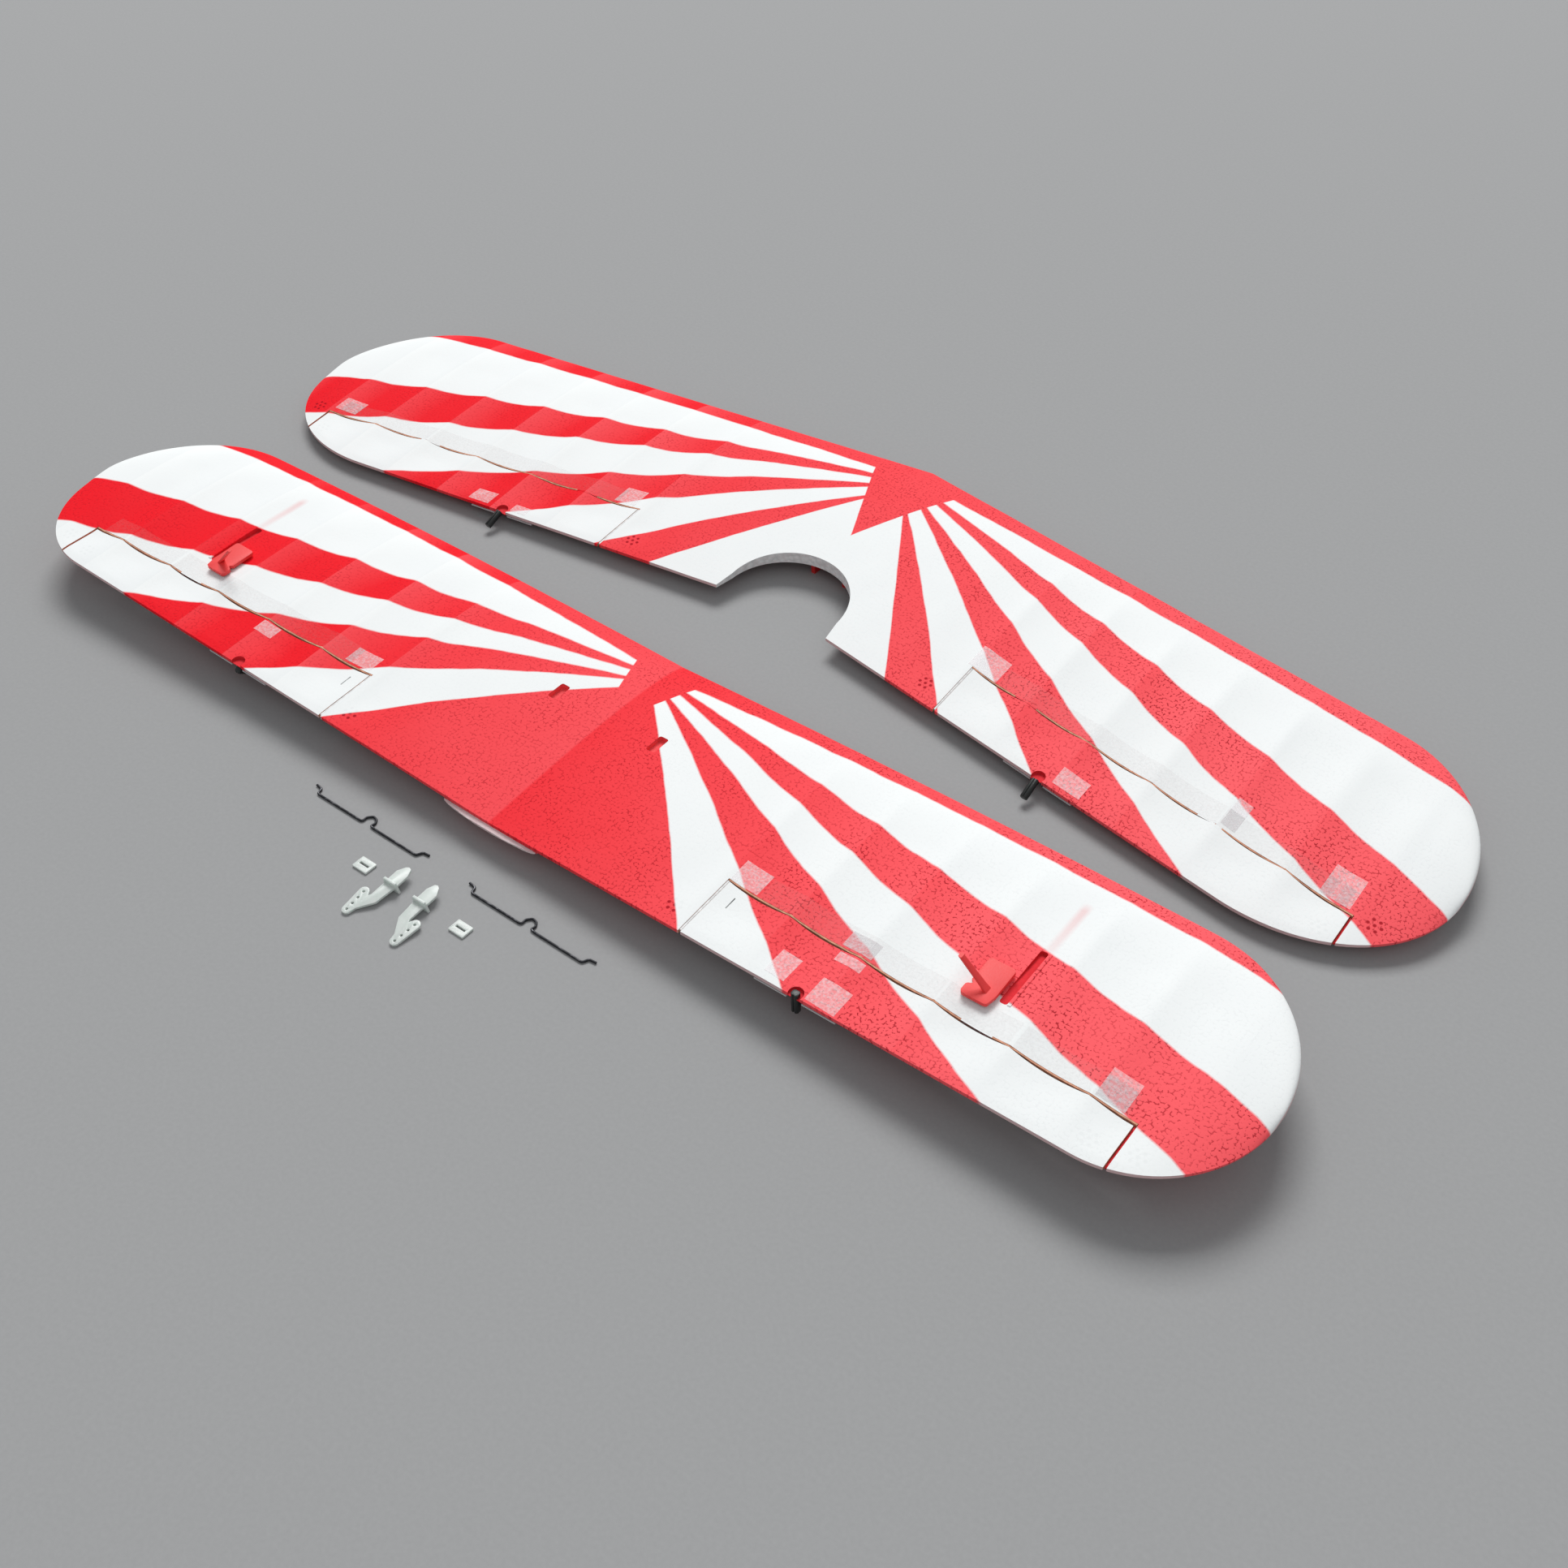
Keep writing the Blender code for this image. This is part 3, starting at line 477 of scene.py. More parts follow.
    swell = shader.math("MULTIPLY", shader.math("MULTIPLY", dome, dome), -0.5)
    grain = shader.math("MULTIPLY_ADD", shader.noise(place, 1500.0), 0.25, swell)
    firmness = shader.math("MULTIPLY_ADD", white, -0.45, 0.6)
    shader.bump(shader.math("MULTIPLY_ADD", pit, -0.9, grain), 0.00013, firmness)
    return shader.material


def bare_foam(name, colour, depth=0.0005, contrast=0.6, specular=0.2):
    """Cut foam: broken beads of uneven brightness, painted darker towards each bead's rim as painted
    shade between the beads.
    """
    shader = Shader(name, 0.8, specular=specular)
    place = shader.place()
    bead = shader.beads(place, 620.0)
    shade = shader.math("MULTIPLY_ADD", shader.noise(place, 350.0, 4.0), 0.5, shader.ramp(bead, 0.3, 0.8))
    dark = tuple(0.55 * value for value in colour)
    shader.colour(shader.mix(shader.math("MULTIPLY", shade, contrast, clamp=True), colour, dark))
    shader.bump(shader.math("MULTIPLY", bead, -1.0), depth)
    return shader.material


def moulded(name, colour, roughness, grain=0.05, specular=0.4):
    """Moulded plastic with faint flow marks and a fine grain."""
    shader = Shader(name, roughness, specular=specular)
    place = shader.place()
    flow = shader.noise(place, 120.0, 3.0)
    light = tuple(min(value * 1.12 + 0.004, 1.0) for value in colour)
    dark = tuple(value * 0.86 for value in colour)
    shader.colour(shader.mix(flow, dark, light))
    fine = shader.noise(place, 2600.0, 3.0)
    shader.rough(shader.math("MULTIPLY_ADD", fine, 0.18, roughness - 0.09))
    shader.bump(fine, grain * MM, 0.6)
    return shader.material


def nylon(name):
    """Natural nylon: milky, lit from within, a little uneven."""
    shader = Shader(name, 0.36)
    place = shader.place()
    cloud = shader.noise(place, 260.0, 3.0)
    shader.colour(shader.mix(cloud, *NYLON_TONES))
    shader.surface.inputs["Subsurface Weight"].default_value = 0.45
    shader.surface.inputs["Subsurface Radius"].default_value = (0.9, 1.0, 0.95)
    shader.surface.inputs["Subsurface Scale"].default_value = 0.0012
    shader.surface.inputs["Alpha"].default_value = 0.84
    shader.bump(shader.noise(place, 1800.0), 0.00004, 0.5)
    return shader.material


def frosted(name, alpha, colour, wrinkle):
    """Thin frosted tape that the surface below shows through, cloudier at its creases."""
    shader = Shader(name, 0.5, specular=0.3)
    place = shader.place()
    crease = shader.noise(place, 1400.0, 4.0)
    shader.colour(colour)
    sheer = shader.math("MULTIPLY_ADD", shader.ramp(crease, 0.4, 0.7), 0.8 * alpha, 0.6 * alpha)
    shader.feed(shader.surface.inputs["Alpha"], sheer)
    shader.bump(crease, wrinkle * MM, 0.8)
    return shader.material


def wire_metal(name):
    """Blackened spring steel with draw marks rubbed brighter here and there."""
    shader = Shader(name, 0.42, metallic=0.85)
    place = shader.place()
    rub = shader.ramp(shader.noise(place, 700.0, 4.0), 0.5, 0.75)
    shader.colour(shader.mix(rub, *WIRE_TONES))
    shader.rough(shader.math("MULTIPLY_ADD", rub, -0.14, 0.46))
    shader.bump(shader.noise(place, 2400.0), 0.00001, 0.5)
    return shader.material


def belly_paint(name):
    """Red foam, left bare and slightly torn where its lip passes the trailing edge."""
    shader = Shader(name, 0.6, specular=FOAM_SPECULAR)
    place = shader.place()
    parts = shader.node("ShaderNodeSeparateXYZ", {"Vector": place})
    along = shader.in_mm(parts.outputs[1])
    fray = shader.math("MULTIPLY_ADD", shader.noise(place, 600.0, 4.0), 0.5, along)
    bare = shader.fall(fray, -1.0, -0.7)
    # Painted shade: the red is painted darker in the pits between the beads.
    bead = shader.beads(place, 700.0)
    pit = shader.math("MULTIPLY", shader.ramp(bead, 0.6, 0.76), 0.5)
    red = shader.mix(pit, RED_LIGHT, PIT_SHADE_RED)
    pale = shader.mix(shader.noise(place, 500.0, 3.0), *TORN_FOAM)
    shader.colour(shader.mix(bare, red, pale))
    shader.bump(shader.math("MULTIPLY", bead, -1.0), 0.00015, 0.7)
    return shader.material


MATERIALS = {
    "lower_foam": painted_foam("lower_foam_paint", LOWER_PAINT),
    "upper_foam": painted_foam("upper_foam_paint", UPPER_PAINT),
    "wall": bare_foam("cut_out_wall", BARE_FOAM, 0.0003, 0.3),
    "seam": bare_foam("hinge_cut", CUT_BROWN, 0.0002),
    "slot": bare_foam("slot_wall", SLOT_RED, 0.0001, 0.3),
    "pocket": bare_foam("pocket_wall", POCKET_RED, 0.0001, 0.3),
    "belly": belly_paint("belly_paint"),
    "plate": moulded("red_fitting", (0.88, 0.060, 0.060), 0.45, specular=0.25),
    "cabane": moulded("red_mount", (0.70, 0.02, 0.02), 0.45),
    "socket": moulded("black_fitting", (0.016, 0.018, 0.017), 0.40),
    "strip": moulded("strip_plastic", (0.58, 0.56, 0.57), 0.35),
    "nylon": nylon("natural_nylon"),
    "patch": frosted("tape_patch", 0.25, (0.99, 0.93, 0.95), 0.005),
    "band": frosted("hinge_tape", 0.035, (0.55, 0.45, 0.45), 0.02),
    "wire": wire_metal("spring_wire"),
}


# ---------------------------------------------------------------- shape helpers

def link_mesh(name, mesh_data, material, place=None):
    """One object from a bmesh in mm, placed by a matrix in metres."""
    bmesh.ops.scale(mesh_data, vec=(MM, MM, MM), verts=mesh_data.verts)
    bmesh.ops.recalc_face_normals(mesh_data, faces=mesh_data.faces)
    mesh = bpy.data.meshes.new(name)
    mesh_data.to_mesh(mesh)
    mesh_data.free()
    mesh.materials.append(MATERIALS.get(material, material))
    piece = bpy.data.objects.new(name, mesh)
    bpy.context.collection.objects.link(piece)
    if place is not None:
        piece.matrix_world = place
    return piece


def smooth(piece, angle=40.0):
    piece.data.shade_smooth()
    piece.data.set_sharp_from_angle(angle=math.radians(angle))


def settle(piece):
    """Turn a piece's modifiers into its own mesh."""
    bpy.context.view_layer.update()
    graph = bpy.context.evaluated_depsgraph_get()
    mesh = bpy.data.meshes.new_from_object(piece.evaluated_get(graph))
    piece.modifiers.clear()
    piece.data = mesh


def boolean(piece, cutter, operation="DIFFERENCE"):
    """Cut with an exact Boolean; the cut faces keep the cutter's material."""
    modifier = piece.modifiers.new("Cut", "BOOLEAN")
    modifier.solver = "EXACT"
    modifier.operation = operation
    modifier.material_mode = "TRANSFER"
    modifier.object = cutter
    settle(piece)
    bpy.data.objects.remove(cutter, do_unlink=True)


def cut_from(piece, solid, material, place, operation="DIFFERENCE"):
    boolean(piece, link_mesh("cutter", solid, material, place), operation)


def round_edges(piece, width, segments=3, angle=30.0):
    modifier = piece.modifiers.new("Rounding", "BEVEL")
    modifier.width = width * MM
    modifier.segments = segments
    modifier.limit_method = "ANGLE"
    modifier.angle_limit = math.radians(angle)
    settle(piece)
    smooth(piece)


def hand_over(piece, body, slot, *nodes):
    """Say which body a piece rides on and the CAD nodes it stands for; its finish is not used."""
    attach(piece, body)
    if nodes:
        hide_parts(*nodes)


def add_sheet(name, solid, finish, place, body, slot="white_foam"):
    """A smooth piece that replaces no CAD node of its own."""
    sheet = link_mesh(name, solid, finish, place)
    smooth(sheet)
    hand_over(sheet, body, slot)


def prism(outline, low, high):
    solid = bmesh.new()
    face = solid.faces.new([solid.verts.new((x, y, low)) for x, y in outline])
    raised = bmesh.ops.extrude_face_region(solid, geom=[face])
    tops = [item for item in raised["geom"] if isinstance(item, bmesh.types.BMVert)]
    bmesh.ops.translate(solid, vec=(0.0, 0.0, high - low), verts=tops)
    return solid


def block(x, y, z):
    return prism([(x[0], y[0]), (x[1], y[0]), (x[1], y[1]), (x[0], y[1])], z[0], z[1])


def rounded_box(x, y, corner, steps=5):
    """Plan outline of a rectangle with round corners."""
    corners = (
        ((x[1] - corner, y[1] - corner), 0.0), ((x[0] + corner, y[1] - corner), 90.0),
        ((x[0] + corner, y[0] + corner), 180.0), ((x[1] - corner, y[0] + corner), 270.0),
    )
    outline = []
    for centre, start in corners:
        outline += arc(centre, corner, start, start + 90.0, steps)
    return outline


def drum(x, y, radius, low, high, segments=40):
    return prism(arc((x, y), radius, 0.0, 360.0, segments)[:-1], low, high)


def loft(loops):
    solid = bmesh.new()
    rows = [[solid.verts.new(point) for point in loop] for loop in loops]
    count = len(rows[0])
    for row, following in zip(rows, rows[1:]):
        for index in range(count):
            after = (index + 1) % count
            solid.faces.new((row[index], row[after], following[after], following[index]))
    solid.faces.new(rows[0][::-1])
    solid.faces.new(rows[-1])
    return solid


def steps_between(low, high, step):
    """Evenly spaced values from low to high, about step apart."""
    count = max(1, round(abs(high - low) / step))
    return [low + (high - low) * index / count for index in range(count + 1)]


# ---------------------------------------------------------------- foam wings

def edge(plan, which, x):
    """Y of the leading or trailing edge at span position x."""
    start_y, slope, bow = plan[which]
    span = abs(x)
    line = start_y - slope * span - bow * span ** 2
    round_x = plan[f"{which}_round_x"]
    if span <= round_x:
        return line
    tip = plan["half_span"]
    drop = (start_y - slope * tip - bow * tip ** 2) - plan["tip_y"]
    along = min((span - round_x) / (tip - round_x), 1.0)
    return line - drop * (1.0 - math.sqrt(1.0 - along ** 2))


def section_half(along):
    root = 1.4845 * math.sqrt(along)
    return 2.0 * (root - 0.63 * along - 1.758 * along ** 2 + 1.4215 * along ** 3 - 0.5075 * along ** 4)


def clamp01(value):
    return min(max(value, 0.0), 1.0)


def relief(plan, x, y, along):
    """How far the skin sags between the moulded ribs, and the foam's own unevenness."""
    span = abs(x)
    bay = ((span - FIRST_RIB) / RIB_PITCH) % 1.0
    fade = clamp01((along - 0.10) / 0.18) * clamp01((0.97 - along) / 0.12)
    fade *= clamp01((span - FIRST_RIB) / RIB_PITCH)
    fade *= clamp01((plan["half_span"] - 12.0 - span) / 16.0)
    uneven = FOAM_UNEVEN * noise.noise(Vector((x * 0.09, y * 0.09, plan["half_span"])))
    return uneven - RIB_SAG * 4.0 * bay * (1.0 - bay) * fade


def skin_height(plan, x, y, side=1, textured=True):
    leading = edge(plan, "leading", x)
    chord = leading - edge(plan, "trailing", x)
    root = edge(plan, "leading", 0.0) - edge(plan, "trailing", 0.0)
    along = clamp01((leading - y) / chord)
    depth = CREST if side > 0 else BELLY
    height = math.sqrt(chord / root) * (depth * section_half(along) + EDGE_HALF * along)
    lift = abs(x) * math.tan(plan["dihedral"])
    if textured and side > 0:
        lift += relief(plan, x, y, along)
    return side * height + lift


def span_stations(plan):
    inner = min(plan["trailing_round_x"], plan["leading_round_x"])
    half = steps_between(0.0, inner, STATION_STEP)[:-1]
    for step in range(TIP_STEPS):
        turn = TIP_LAST * step / (TIP_STEPS - 1)
        half.append(inner + (plan["half_span"] - inner) * math.sin(turn))
    return [-x for x in reversed(half[1:])] + half


def foam_slab(plan, low=-1000.0, high=1000.0):
    """The wing's slab between two span positions, before anything is cut from it."""
    shares = [0.5 * (1.0 + math.cos(math.pi * step / CHORD_STEPS)) for step in range(CHORD_STEPS + 1)]
    loops = []
    for x in span_stations(plan):
        if not low <= x <= high:
            continue
        leading = edge(plan, "leading", x)
        chord = leading - edge(plan, "trailing", x)
        upper = [(x, leading - chord * share) for share in shares]
        loop = [(px, py, skin_height(plan, px, py, 1)) for px, py in upper]
        loop += [(px, py, skin_height(plan, px, py, -1)) for px, py in reversed(upper[:-1])]
        loops.append(loop)
    return loft(loops)


def hinge_line(plan, x):
    """Y of the hinge line at span position x."""
    inner, outer = plan["aileron_x"]
    y_in, y_out = plan["hinge_y"]
    return y_in + (y_out - y_in) * (abs(x) - inner) / (outer - inner)


def draped(plan, side, spans, edges, lift):
    """A thin slab that follows the skin; edges gives its rear and front y at each |x|."""
    loops = []
    for span in spans:
        rear, front = edges(span)
        path = [(side * span, y) for y in steps_between(rear, front, TAPE_STEP)]
        loop = [(x, y, skin_height(plan, x, y) + lift(span)[1]) for x, y in path]
        loop += [(x, y, skin_height(plan, x, y) + lift(span)[0]) for x, y in reversed(path)]
        loops.append(loop)
    return loft(loops)


def aileron_bay(plan, side):
    inner, outer = plan["aileron_x"]
    y_in, y_out = plan["hinge_y"]
    front = HINGE_GAP / 2.0
    return prism([
        (side * inner, y_in + front), (side * outer, y_out + front),
        (side * outer, CUT_BEHIND), (side * inner, CUT_BEHIND),
    ], CUT_LOW, CUT_HIGH)


def aileron_core(plan, side):
    lean = FRONT_DEPTH * math.tan(FRONT_BEVEL)
    loops = []
    for end, inset in ((0, END_GAP), (1, -END_GAP)):
        x = side * (plan["aileron_x"][end] + inset)
        y = plan["hinge_y"][end] - HINGE_GAP / 2.0
        z = skin_height(plan, x, y, textured=False)
        loops.append([
            (x, y + lean, z + FRONT_DEPTH), (x, y - lean, z - FRONT_DEPTH),
            (x, CUT_BEHIND, z - FRONT_DEPTH), (x, CUT_BEHIND, z + FRONT_DEPTH),
        ])
    return loft(loops)


def slot_cutter(slot, side):
    x = side * slot["x"]
    half = slot["width"] / 2.0
    middle = sum(slot["y"]) / 2.0
    floor = skin_height(LOWER, x, middle, textured=False) - slot["depth"]
    return prism(rounded_box((x - half, x + half), slot["y"], SLOT_CORNER), floor, CUT_HIGH)


def build_wing(level, plan, place):
    """A wing and its two ailerons as foam meshes that stand for the CAD's."""
    foam = f"{level}_foam"
    wing = link_mesh(f"{level}_wing_foam", foam_slab(plan), foam, place)
    for side, _ in SIDES:
        cut_from(wing, aileron_bay(plan, side), "seam", place)
        if plan is LOWER:
            cut_from(wing, slot_cutter(STRUT_SLOT, side), "slot", place)
            cut_from(wing, slot_cutter(CABANE_SLOT, side), "pocket", place)
    if plan is UPPER:
        outline = arc((0.0, CUTOUT_Y), CUTOUT_RADIUS, 0.0, 180.0, 90)
        outline += [
            (-CUTOUT_MOUTH, CUTOUT_CORNER_Y), (-CUTOUT_MOUTH, 0.0),
            (CUTOUT_MOUTH, 0.0), (CUTOUT_MOUTH, CUTOUT_CORNER_Y),
        ]
        cut_from(wing, prism(outline, CUT_LOW, CUT_HIGH), "wall", place)
    smooth(wing)
    hand_over(wing, level, "white_foam", f"{level}_wing")

    for side, word in SIDES:
        inner, outer = plan["aileron_x"]
        ends = sorted((side * (inner - 4.0), side * (outer + 6.0)))
        flap = link_mesh(f"{level}_aileron_foam_{word}", foam_slab(plan, *ends), foam, place)
        cut_from(flap, aileron_core(plan, side), "seam", place, "INTERSECT")
        x = plan["link_x"]
        notch_y = edge(plan, "trailing", x) + NOTCH_SET_IN
        cut_from(flap, drum(side * x, notch_y, NOTCH_RADIUS, CUT_LOW, CUT_HIGH), "slot", place)
        if plan is LOWER:
            half = HORN_SLIT["width"] / 2.0
            slit_x = side * HORN_SLIT["x"]
            slit = block((slit_x - half, slit_x + half), HORN_SLIT["y"], (CUT_LOW, CUT_HIGH))
            cut_from(flap, slit, "wall", place)
        smooth(flap)
        hand_over(flap, f"{level}_{word}_aileron", "white_foam", f"{level}_aileron_{word}")


# ---------------------------------------------------------------- hinge lines and tape

def add_hinge_core(level, plan, place, side, word):
    """Rough foam left standing in the hinge cut, and bridges across it almost level with the skin."""
    inner, outer = plan["aileron_x"]
    half = HINGE_GAP / 2.0

    def edges(span):
        line = hinge_line(plan, span)
        return line - 0.5 * half, line + half + 0.1

    def uneven(span):
        wander = noise.noise(Vector((0.31 * span, side * 7.0, plan["half_span"])))
        return -CORE_DEPTH, CORE_TOP + CORE_WANDER * wander

    spans = steps_between(inner + 0.2, outer - 0.2, TAPE_STEP)
    solid = draped(plan, side, spans, edges, uneven)
    add_sheet(f"{level}_hinge_core_{word}", solid, "seam", place, level)
    for index, (start, stop) in enumerate(BRIDGES[level]):
        solid = draped(
            plan, side, steps_between(start, stop, TAPE_STEP), edges,
            lambda span: (-CORE_DEPTH, BRIDGE_TOP),
        )
        add_sheet(f"{level}_hinge_bridge_{word}_{index}", solid, f"{level}_foam", place, level)


def add_end_creases(level, plan, place, side, word):
    """Rough foam in the gaps at an aileron's ends; the inboard one is all but closed."""
    inner, outer = plan["aileron_x"]
    for label, start, finish, top in (
        ("inner", inner + 0.1, "wall", CREASE_TOP[0]),
        ("outer", outer + 0.15 - END_GAP, "slot", CREASE_TOP[1]),
    ):
        solid = draped(
            plan, side, (start, start + END_GAP - 0.25),
            lambda span: (edge(plan, "trailing", span) + 0.6, hinge_line(plan, span) - 0.3),
            lambda span: (top - 0.5, top),
        )
        add_sheet(f"{level}_{label}_crease_{word}", solid, finish, place, level)


def add_notch_floor(level, plan, place, side, word):
    """Red foam left at the bottom of the notch round the socket."""
    x = plan["link_x"]
    y = edge(plan, "trailing", x) + NOTCH_SET_IN
    height = x * math.tan(plan["dihedral"]) + NOTCH_FLOOR
    rim = arc((side * x, y), NOTCH_RADIUS + 0.1, 0.0, 360.0, 40)[:-1]
    solid = prism([(px, max(py, y - NOTCH_SET_IN)) for px, py in rim], height - 0.2, height)
    floor = link_mesh(f"{level}_notch_floor_{word}", solid, "slot", place)
    hand_over(floor, f"{level}_{word}_aileron", "white_foam")


def add_slot_ridge(side, word):
    """The raised lip of foam along the outboard side of a strut slot."""
    solid = draped(
        LOWER, side, SLOT_RIDGE_X, lambda span: STRUT_SLOT["y"], lambda span: (-0.4, SLOT_RIDGE_TOP)
    )
    ridge = link_mesh(f"strut_slot_ridge_{word}", solid, "lower_foam", LOWER_FRAME)
    round_edges(ridge, RIDGE_ROUNDING)
    hand_over(ridge, "lower", "white_foam")


def add_tape(level, plan, place, side, word, table):
    """Frosted patches, and the long band of hinge tape on the wing ahead of the cut."""
    inner, outer = plan["aileron_x"]
    slope = (plan["hinge_y"][0] - plan["hinge_y"][1]) / (outer - inner)
    for index, (stuck_to, across, along) in enumerate(table[word]):
        middle = sum(across) / 2.0
        solid = draped(
            plan, side, steps_between(*across, TAPE_STEP),
            lambda span: tuple(y - slope * (span - middle) for y in along),
            lambda span: TAPE_LIFT,
        )
        body = level if stuck_to == "wing" else f"{level}_{word}_aileron"
        add_sheet(f"{level}_tape_{word}_{index}", solid, "patch", place, body, "clear_strip")
    start, stop = BAND_ENDS
    solid = draped(
        plan, side, steps_between(inner + start, outer - stop, TAPE_STEP),
        lambda span: (hinge_line(plan, span) + 0.3, hinge_line(plan, span) + BAND_WIDTH),
        lambda span: BAND_LIFT,
    )
    add_sheet(f"{level}_hinge_tape_{word}", solid, "band", place, level, "clear_strip")


# ---------------------------------------------------------------- fittings on the wings

def add_socket(level, plan, frame_place, side, word):
    """Black bar with chamfered edges and a groove, in or just behind the trailing edge's notch."""
    x = plan["link_x"]
    lean, behind, drop = SOCKET_POSES[(level, word)]
    turn = Euler((lean, -side * plan["dihedral"], 0.0))
    spot = Vector((side * x, edge(plan, "trailing", x) - behind, x * math.tan(plan["dihedral"]) - drop))
    place = frame_place @ Matrix.Translation(spot * MM) @ turn.to_matrix().to_4x4()
    wide, deep, tall = (SOCKET_SIZE[0] / 2.0, SOCKET_SIZE[1] / 2.0, SOCKET_SIZE[2])
    cut = SOCKET_CHAMFER
    groove = SOCKET_GROOVE[0] / 2.0
    floor = SOCKET_GROOVE[1] - deep
    outline = [
        (cut - wide, -deep), (-groove, -deep), (-groove, floor), (groove, floor), (groove, -deep),
        (wide - cut, -deep), (wide, cut - deep), (wide, deep - cut), (wide - cut, deep),
        (cut - wide, deep), (-wide, deep - cut), (-wide, cut - deep),
    ]
    bar = link_mesh(
        f"{level}_socket_{word}", prism(outline, SOCKET_TOP - tall, SOCKET_TOP), "socket", place
    )
    round_edges(bar, SOCKET_ROUNDING, 2, 25.0)
    hand_over(bar, f"{level}_{word}_aileron", "black_plastic", f"{level}_link_socket_{word}")


def plate_outline():
    """Plan outline of the right strut plate, stepped on its inboard side."""
    x_low, x_high = PLATE_X
    lobe_low, lobe_high = PLATE_LOBE_X
    y_low, y_high = PLATE_Y
    corner = PLATE_CORNER
    outline = arc((x_high - corner, y_high - corner), corner, 0.0, 90.0, 6)
    outline += arc((x_low + corner, y_high - corner), corner, 90.0, 180.0, 6)
    outline += [(x_low + x, PLATE_STEP_Y + y) for x, y in PLATE_STEP]
    outline += arc((lobe_low + corner, PLATE_STEP_Y - PLATE_LOBE_CORNER), corner, 90.0, 180.0, 5)
    outline += arc((lobe_low + corner, y_low + corner), corner, 180.0, 270.0, 6)
    outline += arc((lobe_high - corner, y_low + corner), corner, 270.0, 360.0, 6)
    return outline + [(x_high, PLATE_STEP_Y)]


def add_strut_plate(side, word):
    """Moulded plate with soft edges beside the strut slot, and its leaning tab."""
    centre_x = sum(PLATE_X) / 2.0
    centre_y = sum(PLATE_Y) / 2.0
    front, rear = (skin_height(LOWER, centre_x, y, textured=False) for y in reversed(PLATE_Y))
    pitch = math.atan2(front - rear, PLATE_Y[1] - PLATE_Y[0])
    lift = skin_height(LOWER, centre_x, centre_y, textured=False) + GAP
    spot = Matrix.Translation(Vector((side * centre_x, centre_y, lift)) * MM)
    turn = Euler((pitch, -side * LOWER["dihedral"], 0.0)).to_matrix().to_4x4()
    place = LOWER_FRAME @ spot @ turn
    flat = [(side * (x - centre_x), y - centre_y) for x, y in plate_outline()]
    plate = link_mesh(f"strut_plate_shell_{word}", prism(flat, -GAP, PLATE_THICK), "plate", place)
    round_edges(plate, PLATE_ROUNDING)
    hand_over(plate, "lower", "red_plastic", f"strut_plate_{word}")
    wide, thick = TAB_SIZE
    loops = []
    for share, taper in TAB_TAPER:
        x = side * (TAB_FOOT[0] - centre_x - TAB_LEAN * share)
        y = TAB_FOOT[1] - centre_y
        z = PLATE_THICK / 2.0 + TAB_RISE * share
        half = wide * taper / 2.0
        corners = rounded_box((x - thick / 2.0, x + thick / 2.0), (y - half, y + half), 0.2, 3)
        loops.append([(*corner, z) for corner in corners])
    add_sheet(f"strut_tab_shell_{word}", loft(loops), "plate", place, "lower", "red_plastic")


def add_belly():
    """Boat-shaped fairing; its rear lip runs on from the wing and ends in a torn rim."""
    first, last = BELLY_Y
    trailing = edge(LOWER, "trailing", 0.0)
    past, square = BELLY_FULLNESS
    stations = steps_between(first, trailing + 0.6, 0.3)
    seam_y = stations[-1]
    stations += steps_between(seam_y + 0.05, last, 1.5)
    loops = []
    for y in stations:
        behind = max(trailing - y, 0.0) / (trailing - first)
        half = BELLY_HALF_WIDTH * math.sqrt(max(1.0 - behind ** 2, BELLY_LEAST_WIDTH))
        ahead = max(y - BELLY_BOW_Y, 0.0) / (last - BELLY_BOW_Y)
        half *= 1.0 - BELLY_BOW_NARROWING * ahead ** 2
        top = BELLY_LIP - BELLY_LIP_FALL * behind ** 2
        if y > seam_y:
            top = skin_height(LOWER, 0.0, y, -1) - GAP
        rise = max(BELLY_STERN_Y - y, 0.0) / (BELLY_STERN_Y - first)
        bottom = BELLY_STERN_RISE * rise ** BELLY_STERN_CURVE + BELLY_BOW_RISE * ahead ** 2
        bottom -= LOWER_HEIGHT
        shares = [step / BELLY_TURNS for step in range(BELLY_TURNS + 1)]
        loop = [(half - 2.0 * half * share, y, top) for share in shares]
        for step in range(1, BELLY_TURNS):
            turn = math.pi * step / BELLY_TURNS
            x = -half * math.cos(turn)
            z = max(top - (top - bottom) * past * math.sin(turn) ** square, bottom)
            tear = noise.noise(Vector((0.9 * x, 0.9 * y, z))) * BELLY_TEAR * behind
            loop.append((x, y - tear, z + tear))
        loops.append(loop)
    hull = link_mesh("belly_shell", loft(loops), "belly", LOWER_FRAME)
    smooth(hull, 50.0)
    hand_over(hull, "lower", "red_foam", "belly_fairing")


# ---------------------------------------------------------------- loose hardware

def rounded_path(corners, radius, steps=8):
    """A polyline in the plane with each inner corner turned into a curve."""
    points = [Vector(corners[0])]
    for before, corner, after in zip(corners, corners[1:], corners[2:]):
        corner = Vector(corner)
        back = Vector(before) - corner
        ahead = Vector(after) - corner
        reach = radius / math.tan(back.angle(ahead) / 2.0)
        reach = min(reach, BEND_SHARE * back.length, BEND_SHARE * ahead.length)
        start = corner + back.normalized() * reach
        stop = corner + ahead.normalized() * reach
        for step in range(steps + 1):
            share = step / steps
            points.append(start.lerp(corner, share).lerp(corner.lerp(stop, share), share))
    return points + [Vector(corners[-1])]


